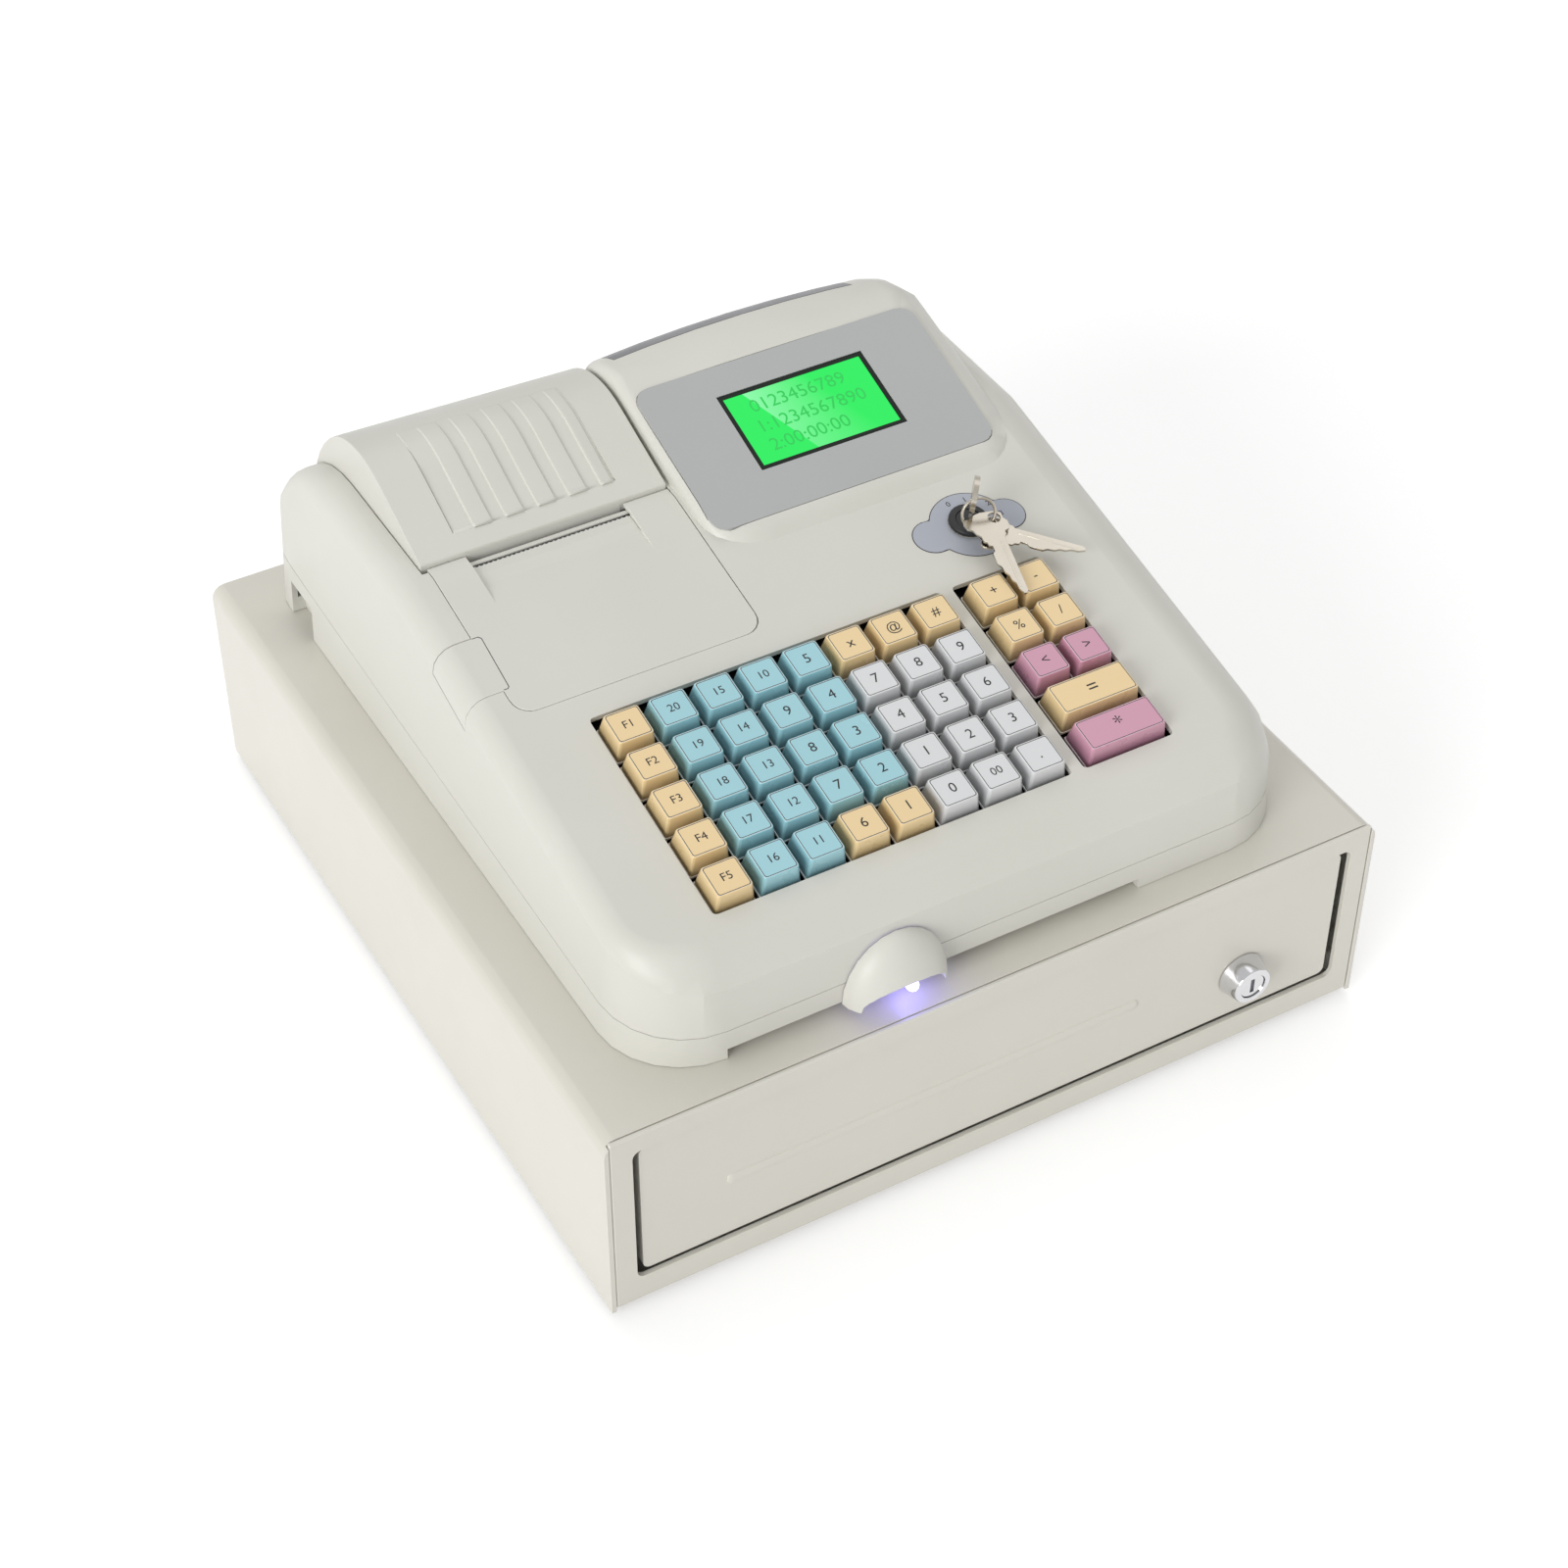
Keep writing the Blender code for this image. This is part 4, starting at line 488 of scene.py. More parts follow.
FINISHES: tuple[Finish, ...] = (
    Finish("body_plastic", (214, 213, 205), (207, 206, 196), 0.42, 0.08, grain=1800.0),
    Finish("inner_plastic", (150, 150, 144), (136, 136, 130), 0.5, 0.08),
    Finish("painted_steel", (214, 211, 201), (207, 204, 193), 0.36, 0.08, grain=700.0, depth=0.00004,
           surface=Surface.SPRAYED, coat=0.15),
    Finish("rolled_steel", (180, 181, 180), (158, 159, 158), 0.34, 0.16, 1.0, 1400.0, 0.00001,
           Surface.BRUSHED),
    Finish("chrome", (226, 226, 228), (206, 206, 210), 0.09, 0.06, 1.0, surface=Surface.SMOOTH),
    Finish("nickel", (214, 208, 196), (172, 162, 146), 0.24, 0.18, 1.0, 1300.0, 0.00001, Surface.BRUSHED),
    Finish("black_plastic", (34, 34, 36), (24, 24, 26), 0.42, 0.12),
    Finish("black_rubber", (38, 38, 38), (28, 28, 28), 0.82, 0.1, grain=900.0),
    Finish("well_black", (12, 12, 13), (7, 7, 8), 0.5, 0.1),
    Finish("grey_film", (176, 178, 177), (169, 171, 170), 0.38, 0.05, grain=2600.0, depth=0.00001),
    Finish("mode_label", (172, 176, 186), (163, 168, 178), 0.34, 0.05, grain=2600.0, depth=0.00001),
    # dark ink for print, also painted shade in the seam by the finger tab
    Finish("print_ink", (30, 30, 32), (44, 44, 46), 0.5, 0.06),
    Finish("screen_border", (5, 22, 9), (3, 12, 5), 0.75, 0.05, surface=Surface.SMOOTH),
    Finish("screen_digits", (22, 178, 70), (18, 160, 62), 0.4, 0.05, surface=Surface.SMOOTH, glow=0.45),
    Finish("smoke_window", (98, 99, 104), (84, 85, 90), 0.34, 0.05, surface=Surface.SMOOTH),
    Finish("lamp_glow", (150, 142, 255), (158, 150, 255), 0.3, 0.05, surface=Surface.SMOOTH, glow=8.0),
    Finish("board_green", (28, 92, 52), (20, 74, 42), 0.35, 0.12),
    # painted highlight: the paler colour of the shells' rounded edges
    Finish("crisp_edge", (232, 231, 225), (226, 225, 217), 0.3, 0.06, surface=Surface.SMOOTH),
    Finish("paper", (246, 246, 243), (238, 237, 232), 0.85, 0.05, grain=2400.0),
)


class KeyColour(Enum):
    """Colours of the inserts under the clear key covers."""

    CREAM = (236, 208, 156)
    BLUE = (156, 206, 216)
    PINK = (206, 150, 172)
    GREY = (217, 218, 219)

    def darker(self, share: float) -> Tint:
        """The colour with its light cut.

        Args:
            share: Share of the light that is left.

        Returns:
            The darker colour.
        """
        return tuple(round(value * share) for value in self.value)

    def finishes(self) -> list[Finish | GradedSide]:
        """The finishes of a key: its face, its sides with painted shade, its clear cover with a painted
        highlight and the line round its face, which is painted shade.
        """
        tint = self.name.lower()
        clear = 232  # the cover's pale grey, its clear tint and a painted highlight, two parts to one of the colour under it
        pale = tuple((value + 2 * clear) // 3 for value in self.value)
        smooth = Surface.SMOOTH
        return [
            Finish(f"{tint}_face", self.value, self.darker(0.965), 0.26, 0.06, surface=smooth, coat=0.55),
            # painted shade: the sides darken to 0.72 of the colour at the base
            GradedSide(f"{tint}_side", self.value, self.darker(0.72)),
            # the cover: its clear tint and a painted highlight on the foot and the rounded rim
            Finish(f"{tint}_cover", pale, (196, 197, 197), 0.16, 0.05, surface=smooth, coat=0.8),
            # painted shade: the dark line round the face
            Finish(f"{tint}_line", self.darker(0.27), self.darker(0.22), 0.5, 0.05, surface=smooth),
        ]


@dataclass(frozen=True)
class GradedSide:
    """Finish of a key's sides: the insert's colour with painted shade, darker towards the base.

    Attributes:
        name: Name of the material.
        upper: Display colour at the top edge.
        lower: Display colour at the base, darkened as painted shade.
        ends: Shares of the height where the colours begin and end.
    """

    name: str
    upper: Tint
    lower: Tint
    ends: tuple[float, float] = (0.12, 0.95)

    def build(self, groups: ShaderGroups) -> bpy.types.Material:
        """Builds the material, graded along the side by the key's own UV map.

        Args:
            groups: The shader groups that it places.

        Returns:
            The material.
        """
        paint = Paint(self.name)
        ramp = paint.add("ShaderNodeValToRGB", {0: paint.map_axes()[1]})
        for element, colour, end in zip(ramp.color_ramp.elements, (self.lower, self.upper), self.ends):
            element.color = srgb(*colour)
            element.position = end
        return paint.shaded({
            "Base Color": ramp.outputs[0], "Coat Weight": 0.7, "Coat Roughness": 0.06,
            "Roughness": paint.group(groups.wear, {"Roughness": 0.28, "Spread": 0.1}),
        })


@dataclass(frozen=True)
class LitScreen:
    """Finish of the lit screen: green light with a paler slanting band of painted reflection across it.

    Attributes:
        name: Name of the material.
        lit: Display colour of the light.
        sheen: Display colour inside the painted reflection.
        slant: How far the painted reflection leans over the screen's height.
        reach: Shares of the width where the painted reflection starts and has faded.
        foot: Strength of the painted reflection at the screen's foot.
    """

    name: str = "lit_screen"
    lit: Tint = (40, 238, 96)
    sheen: Tint = (142, 248, 172)
    slant: float = 0.26
    reach: tuple[float, float] = (0.40, 0.86)
    foot: float = 0.45

    def build(self, groups: ShaderGroups) -> bpy.types.Material:
        """Builds the material over the screen's UV map, from its lower left corner.

        Args:
            groups: The shader groups that it places.

        Returns:
            The material.
        """
        paint = Paint(self.name)
        across, climb, _ = paint.map_axes()
        start, end = self.reach
        lean = paint.maths("MULTIPLY_ADD", climb, self.slant, across)
        begun = paint.maths("GREATER_THAN", lean, start)
        fade = paint.add("ShaderNodeMapRange", {
            "Value": lean, "From Min": start, "From Max": end, "To Min": 1.0, "To Max": 0.0,
        })
        rise = paint.add("ShaderNodeMapRange", {"Value": climb, "To Min": self.foot, "To Max": 1.0})
        mask = paint.maths("MULTIPLY", begun, fade.outputs[0])
        amount = paint.maths("MULTIPLY", mask, rise.outputs[0])
        return paint.shaded({
            "Base Color": (0.0, 0.0, 0.0, 1.0), "Specular IOR Level": 0.2,
            "Roughness": paint.group(groups.wear, {"Roughness": 0.18, "Spread": 0.04}),
            # painted reflection: the paler band mixed into the screen's light
            "Emission Color": paint.blend(amount, srgb(*self.lit), srgb(*self.sheen)),
            "Emission Strength": 1.0,
        })


class Workshop:
    """Makes meshes and keeps the materials.

    Attributes:
        WELD: Distance at which corners of a raised outline are joined.
        MERGE: Distance at which corners of a node are joined.
        FLAT: Angle under which faces of a node are one plane.
        WORN: Angle over which an edge is rounded and painted paler as a highlight, in degrees.
        TYPE_DEPTH: Half the thickness of raised figures.
    """

    WELD: float = 0.000002
    MERGE: float = 0.000004
    FLAT: float = math.radians(0.08)
    WORN: float = 38.0
    TYPE_DEPTH: float = 0.00002

    def __init__(self) -> None:
        """Builds every finish."""
        groups = ShaderGroups()
        finishes: list[Finish | GradedSide | LitScreen] = [*FINISHES, LitScreen()]
        for colour in KeyColour:
            finishes += colour.finishes()
        self.materials = {item.name: item.build(groups) for item in finishes}

    def piece(self, name: str, mesh: bpy.types.Mesh, body: str, *nodes: str) -> bpy.types.Object:
        """Puts a mesh in the scene on its body.

        Args:
            name: Name of the piece.
            mesh: Its mesh, already in place.
            body: The body that it rides on.
            *nodes: The nodes that it stands for.

        Returns:
            The object.
        """
        mesh.name = name
        made = stood(name, mesh)
        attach(made, body)
        if nodes:
            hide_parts(*nodes)
        LOG.info("%s on %s: %d faces", name, body, len(mesh.polygons))
        return made

    def solid(self, outline: Outline, low: float, high: float, finish: str, frame: Matrix,
              hole: Outline | None = None) -> bpy.types.Mesh:
        """Raises a flat outline to a solid.

        Args:
            outline: Corners in the frame's X and Y.
            low: Height of its underside.
            high: Height of its top.
            finish: Name of its material.
            frame: Where it stands.
            hole: Corners of a hole through it.

        Returns:
            The mesh, in place.
        """
        curve = bpy.data.curves.new("outline", "CURVE")
        curve.dimensions = "2D"
        curve.fill_mode = "BOTH"
        curve.extrude = (high - low) / 2
        for path in [outline] + ([hole] if hole else []):
            spline = curve.splines.new("POLY")
            spline.points.add(len(path) - 1)
            for point, (x, y) in zip(spline.points, path):
                point.co = (x, y, 0.0, 1.0)
            spline.use_cyclic_u = True
        return self.cast(curve, finish, frame @ Matrix.Translation((0, 0, (low + high) / 2)))

    def words(self, text: str, height: float, finish: str, frame: Matrix) -> bpy.types.Mesh:
        """Makes raised figures centred on a frame.

        Args:
            text: The figures or sign.
            height: Size of the type.
            finish: Name of the ink.
            frame: Where their middle lies.

        Returns:
            The mesh, in place.
        """
        curve = bpy.data.curves.new("figures", "FONT")
        curve.body = text
        curve.size = height
        curve.align_x, curve.align_y = "CENTER", "CENTER"
        curve.resolution_u = 3
        curve.extrude = self.TYPE_DEPTH
        return self.cast(curve, finish, frame)

    def cast(self, curve: bpy.types.Curve, finish: str, frame: Matrix) -> bpy.types.Mesh:
        """Turns a curve into a plain welded mesh and removes the curve.

        Args:
            curve: The curve.
            finish: Name of its material.
            frame: Where it stands.

        Returns:
            The mesh, in place.
        """
        mesh = evaluated(stood(curve.name, curve))
        bpy.data.curves.remove(curve)
        shape = bmesh.new()
        shape.from_mesh(mesh)
        bmesh.ops.remove_doubles(shape, verts=shape.verts, dist=self.WELD)
        shape.to_mesh(mesh)
        shape.free()
        mesh.transform(frame)
        mesh.materials.clear()
        mesh.materials.append(self.materials[finish])
        return mesh

    @staticmethod
    def joined(meshes: list[bpy.types.Mesh]) -> bpy.types.Mesh:
        """Puts several meshes, with their materials, in one.

        Args:
            meshes: The meshes.

        Returns:
            One mesh.
        """
        whole = bpy.data.meshes.new("joined")
        shape = bmesh.new()
        for mesh in meshes:
            before = len(shape.faces)
            shape.from_mesh(mesh)
            shape.faces.ensure_lookup_table()
            offset = len(whole.materials)
            for material in mesh.materials:
                whole.materials.append(material)
            for index in range(before, len(shape.faces)):
                shape.faces[index].material_index += offset
        shape.to_mesh(whole)
        shape.free()
        return whole

    def smooth_copy(self, name: str, node: str, body: str, finish: str, angle: float = 32.0,
                    highlight_band: float = 0.0) -> bpy.types.Object:
        """Copies a node with its faces merged and its rounds shaded smooth, and stands it in for the node.

        Args:
            name: Name of the piece.
            node: The node.
            body: The body that it rides on.
            finish: Name of its material.
            angle: Edges sharper than this stay sharp, in degrees.
            highlight_band: Width of the rounded edge painted paler as a highlight, or zero for none.

        Returns:
            The piece.
        """
        shape = bmesh.new()
        shape.from_mesh(FRAME["nodes"][node].data)
        bmesh.ops.remove_doubles(shape, verts=shape.verts, dist=self.MERGE)
        bmesh.ops.dissolve_limit(
            shape, angle_limit=self.FLAT, verts=shape.verts, edges=shape.edges, delimit={"NORMAL"}
        )
        for face in shape.faces:
            face.smooth = True
        for edge in shape.edges:
            edge.smooth = len(edge.link_faces) == 2 and edge.calc_face_angle(4.0) < math.radians(angle)
        mesh = finished(shape, name)
        mesh.materials.append(self.materials[finish])
        made = self.piece(name, mesh, body, node)
        # the rounded edges take the paler colour, a painted highlight
        if highlight_band:
            mesh.materials.append(self.materials["crisp_edge"])
            self.round_edges(made, highlight_band, self.WORN, 1)
        weighted = made.modifiers.new("weighted", "WEIGHTED_NORMAL")
        weighted.keep_sharp = True
        return made

    @staticmethod
    def round_edges(item: bpy.types.Object, width: float, angle: float, slot: int = -1) -> None:
        """Rounds the sharp edges of an object.

        Args:
            item: The object.
            width: Width of the rounding.
            angle: Edges sharper than this are rounded, in degrees.
            slot: Material slot of the rounded edges, or -1 for that of their faces.
        """
        bevel = item.modifiers.new("edge", "BEVEL")
        bevel.width = width
        bevel.segments = 2
        bevel.limit_method = "ANGLE"
        bevel.angle_limit = math.radians(angle)
        bevel.material = slot


@dataclass
class Slopes:
    """The sloping faces of the register that pieces lie on.

    Attributes:
        cabinet_top: Height of the cabinet's top.
        deck_tilt: Slope of the key deck.
        deck_edge: Front edge of the deck, Y and height over the cabinet.
        hood_tilt: Slope of the display hood.
        hood_start: Foot of the hood, Y and height over the cabinet.
    """

    cabinet_top: float = CABINET_TOP
    deck_tilt: float = math.radians(11.9)
    deck_edge: tuple[float, float] = (-0.1554, 0.0470)
    hood_tilt: float = math.radians(17.5)
    hood_start: tuple[float, float] = (0.0105, 0.0861)

    def on_deck(self, x: float, y: float, lift: float = 0.0) -> Matrix:
        """Frame on the deck, with Z along its normal.

        Args:
            x: Place across.
            y: Place along the ground.
            lift: Height along the normal.

        Returns:
            The frame.
        """
        return self._frame(x, y, lift, self.deck_tilt, self.deck_edge)

    def on_hood(self, x: float, y: float, lift: float = 0.0) -> Matrix:
        """Frame on the hood, with Z along its normal.

        Args:
            x: Place across.
            y: Place along the ground.
            lift: Height along the normal.

        Returns:
            The frame.
        """
        return self._frame(x, y, lift, self.hood_tilt, self.hood_start)

    def _frame(self, x: float, y: float, lift: float, tilt: float, start: tuple[float, float]) -> Matrix:
        """Frame on a slope.

        Args:
            x: Place across.
            y: Place along the ground.
            lift: Height along the normal.
            tilt: Angle of the slope.
            start: Its foot, Y and height over the cabinet.

        Returns:
            The frame.
        """
        height = self.cabinet_top + start[1] + (y - start[0]) * math.tan(tilt)
        turned = Matrix.Rotation(tilt, 4, "X")
        return Matrix.Translation((x, y, height)) @ turned @ Matrix.Translation((0, 0, lift))


@dataclass
class KeyCap:
    """One key: a coloured insert under a clear tapered cover, its face framed by a line of painted shade.

    Attributes:
        SLOTS: Material slot of each level of its sides.
        ROUNDED: Levels that are shaded smooth.
        SHARES: Height of each ring as a share of the side's colours.
        QUARTERS: Signs of X and Y at each corner.
        base: Width of the cover at its foot.
        top: Width of its face.
        length: Length of its face.
        rise: Height of the face over the deck.
        height: Height of the cover.
        skirt: Height of the clear foot, which carries the cover's painted highlight.
        line: Width of the painted shade line that frames the face.
        edge: Width of the rounded edge outside the line, which carries the cover's painted highlight.
    """

    SLOTS: ClassVar[tuple[int, ...]] = (1, 1, 0, 0, 1, 2)
    ROUNDED: ClassVar[tuple[int, ...]] = (3, 4)
    SHARES: ClassVar[tuple[float, ...]] = (0.0, 0.1, 0.12, 0.96, 1.0, 1.0, 1.0)
    QUARTERS: ClassVar[tuple[tuple[int, int], ...]] = ((1, 1), (-1, 1), (-1, -1), (1, -1))

    base: float = 0.0172
    top: float = 0.0143
    length: float = 0.0140
    rise: float = 0.0060
    height: float = 0.0105
    skirt: float = 0.0009
    line: float = 0.00030
    edge: float = 0.00042

    def mesh(self, shop: Workshop, tint: str, extra: float = 0.0) -> bpy.types.Mesh:
        """Builds a cap at the origin from rings of its cross-section, foot to face.

        Args:
            shop: Where the materials are.
            tint: Colour name of the insert.
            extra: Width added for a wide key.

        Returns:
            The mesh, with a UV map whose V climbs the sides.
        """
        low = self.rise - self.height
        foot, face_x, face_y = self.base / 2, self.top / 2, self.length / 2
        drop = self.edge * 0.45
        # half width, half length, height and corner radius of each ring
        levels = [
            (foot, foot, low, 0.0008),
            (foot, foot, low + self.skirt, 0.0008),
            (foot - 0.00035, foot - 0.00035, low + self.skirt + 0.00005, 0.0008),
            (face_x + 0.0001, face_y + 0.0001, self.rise - drop, 0.0011),
            (face_x - self.edge * 0.55, face_y - self.edge * 0.55, self.rise, 0.0010),
            (face_x - self.edge, face_y - self.edge, self.rise, 0.0009),
            (face_x - self.edge - self.line, face_y - self.edge - self.line, self.rise, 0.0008),
        ]
        shape = bmesh.new()
        layer = shape.loops.layers.uv.new(UV_MAP)
        rings = []
        for half_x, half_y, z, radius in levels:
            row = []
            for turn, (sign_x, sign_y) in enumerate(self.QUARTERS):
                centre_x = sign_x * (half_x + extra / 2 - radius)
                centre_y = sign_y * (half_y - radius)
                for step in range(3):
                    angle = math.radians(90 * turn + 45 * step)
                    row.append(shape.verts.new(
                        (centre_x + radius * math.cos(angle), centre_y + radius * math.sin(angle), z)
                    ))
            rings.append(row)
        for level, slot in enumerate(self.SLOTS):
            low_share, high_share = self.SHARES[level:level + 2]
            for index, made in enumerate(bridged(shape, rings[level], rings[level + 1])):
                made.material_index = slot
                made.smooth = level in self.ROUNDED
                for loop, share in zip(made.loops, (low_share, low_share, high_share, high_share)):
                    loop[layer].uv = (index / len(rings[level]), share)
        shape.faces.new(list(reversed(rings[0]))).material_index = 1
        shape.faces.new(rings[-1]).material_index = 3
        mesh = finished(shape, "cap")
        # side with painted shade, cover with a painted highlight, line of painted shade, face
        for part in ("side", "cover", "line", "face"):
            mesh.materials.append(shop.materials[f"{tint}_{part}"])
        return mesh


class RepeatTree:
    """A Geometry Nodes tree that sets copies of one piece on the points of a mesh."""

    INPUTS: dict[str, str] = {
        "Piece": "Object", "Tilt": "Vector", "Scale": "Float", "Finish": "Material", "Repaint": "Bool",
    }

    def __init__(self) -> None:
        """Builds the tree with its named inputs."""
        self.tree = bpy.data.node_groups.new("repeat on points", "GeometryNodeTree")
        face = self.tree.interface
        face.new_socket("Geometry", in_out="INPUT", socket_type="NodeSocketGeometry")
        self.inputs = {
            label: face.new_socket(label, in_out="INPUT", socket_type=f"NodeSocket{kind}").identifier
            for label, kind in self.INPUTS.items()
        }
        face.new_socket("Geometry", in_out="OUTPUT", socket_type="NodeSocketGeometry")
        net = Net(self.tree)
        source = net.add("NodeGroupInput").outputs
        info = net.add("GeometryNodeObjectInfo", {"Object": source["Piece"]})
        points = net.add("GeometryNodeMeshToPoints", {"Mesh": source["Geometry"]})
        turned = net.add("FunctionNodeEulerToRotation", {0: source["Tilt"]})
        copies = net.add("GeometryNodeInstanceOnPoints", {
            "Points": points.outputs["Points"], "Instance": info.outputs["Geometry"],
            "Rotation": turned.outputs[0], "Scale": source["Scale"],
        })
        real = net.add("GeometryNodeRealizeInstances", {"Geometry": copies.outputs["Instances"]})
        paint = net.add("GeometryNodeSetMaterial", {
            "Geometry": real.outputs["Geometry"], "Selection": source["Repaint"],
            "Material": source["Finish"],
        })
        net.add("NodeGroupOutput", {"Geometry": paint.outputs["Geometry"]})

    def spread(self, piece: bpy.types.Mesh, places: list[Vector], tilt: Point,
               finish: bpy.types.Material | None = None) -> bpy.types.Mesh:
        """Sets copies of a piece on places.

        Args:
            piece: The mesh to copy, at the origin.
            places: Where its copies stand.
            tilt: Turn of every copy about X, Y and Z.
            finish: Material that repaints them, or None to keep their own.

        Returns:
            One plain mesh.
        """
        model = stood("model", piece)
        cloud = bpy.data.meshes.new("places")
        cloud.from_pydata([tuple(place) for place in places], [], [])
        carrier = stood("places", cloud)
        modifier = carrier.modifiers.new("repeat", "NODES")
        modifier.node_group = self.tree
        values = {"Piece": model, "Tilt": tilt, "Scale": 1.0, "Finish": finish, "Repaint": finish is not None}
        for label, value in values.items():
            modifier[self.inputs[label]] = value
        mesh = evaluated(carrier)
        bpy.data.objects.remove(model)
        return mesh


@dataclass
class Keyboard:
    """The 48 keys.

    Attributes:
        slopes: The faces that they stand on.
        cap: Sizes of a cap.
        pitch: Distance between keys.
        first: Middle of the key at the rear left.
        block_x: Middle of the right block.
        block_column: Column number at that middle.
        wide: Nodes of the wide keys.
        gap: Gap that a wide key leaves to its neighbours.
        type_sizes: Size of one sign, of two or more signs and of a wide key's sign.
        ink_lift: Height of the middle of the ink over a key's face.
    """

    slopes: Slopes
    cap: KeyCap = field(default_factory=KeyCap)
    pitch: float = 0.01905
    first: tuple[float, float] = (-0.0937, -0.0589)
    block_x: float = 0.0757
    block_column: float = 8.5
    wide: tuple[str, str] = ("key_total", "key_cash")
    gap: float = 0.0003
    type_sizes: tuple[float, float, float] = (0.0062, 0.0050, 0.0085)
    ink_lift: float = 0.00001

    def place(self, column: float, row: int) -> tuple[float, float]:
        """Middle of a key on the plan.

        Args:
            column: Its column from the left.
            row: Its row from the rear.

        Returns:
            Its X and Y.
        """
        x = self.first[0] + column * self.pitch
        if column >= math.floor(self.block_column):
            x = self.block_x + (column - self.block_column) * self.pitch
        return x, self.first[1] - row * self.pitch * math.cos(self.slopes.deck_tilt)

    def keys(self) -> list[tuple[str, KeyColour, list[tuple[float, int, str]]]]:
        """Every node of keys with its colour, and the column, row and sign of each of its keys."""
        cream, blue, pink, grey = KeyColour.CREAM, KeyColour.BLUE, KeyColour.PINK, KeyColour.GREY
        rows = [
            ("keys_left_column", cream, [(0, row, f"F{row + 1}") for row in range(5)]),
            ("keys_above_numbers", cream, [(5, 0, "x"), (6, 0, "@"), (7, 0, "#")]),
            ("keys_function_left", cream, [(8, 0, "+"), (8, 1, "%"), (8, 2, "<")]),
            ("keys_function_right", cream, [(9, 0, "-"), (9, 1, "/"), (9, 2, ">")]),
            ("key_0", grey, [(5, 4, "0")]),
            ("key_00", grey, [(6, 4, "00")]),
            ("key_point", grey, [(7, 4, ".")]),
            ("key_total", cream, [(self.block_column, 3, "=")]),
            ("key_cash", pink, [(self.block_column, 4, "*")]),
        ]
        for number in range(1, 10):
            line, column = divmod(number - 1, 3)
            rows.append((f"key_{number}", grey, [(5 + column, 3 - line, str(number))]))
        for column in range(1, 5):
            keys = [(column, row, str(5 * (5 - column) - row)) for row in range(5)]
            rows.append((f"keys_department_{column}", blue, keys))
        return rows

    def build(self, shop: Workshop, repeat: RepeatTree) -> None:
        """Builds a piece for each node of keys.

        Args:
            shop: Makes the meshes.
            repeat: Sets the caps on their places.
        """
        tilt = (self.slopes.deck_tilt, 0.0, 0.0)
        for node, colour, keys in self.keys():
            wide = self.pitch - self.gap if node in self.wide else 0.0
            tinted: dict[str, list[tuple[float, int]]] = {}
            for column, row, _ in keys:
                tint = self.tint(node, colour, column, row).name.lower()
                tinted.setdefault(tint, []).append((column, row))
            parts = []
            for tint, cells in tinted.items():
                places = [self.slopes.on_deck(*self.place(*cell)).translation for cell in cells]
                parts.append(repeat.spread(self.cap.mesh(shop, tint, wide), places, tilt))
            for column, row, sign in keys:
                frame = self.slopes.on_deck(*self.place(column, row), self.cap.rise + self.ink_lift)
                kind = 2 if wide else min(len(sign), 2) - 1
                parts.append(shop.words(sign, self.type_sizes[kind], "print_ink", frame))
            shop.piece(f"{node}_cap", shop.joined(parts), f"{node}_body", node)

    @staticmethod
    def tint(node: str, colour: KeyColour, column: float, row: int) -> KeyColour:
        """Colour of one key, where a node holds keys of two colours.

        Args:
            node: The node.
            colour: Its main colour.
            column: Column of the key.
            row: Row of the key.

        Returns:
            The colour.
        """
        if node.startswith("keys_function") and row == 2:
            return KeyColour.PINK
        if node in ("keys_department_3", "keys_department_4") and row == 4:
            return KeyColour.CREAM
        return colour


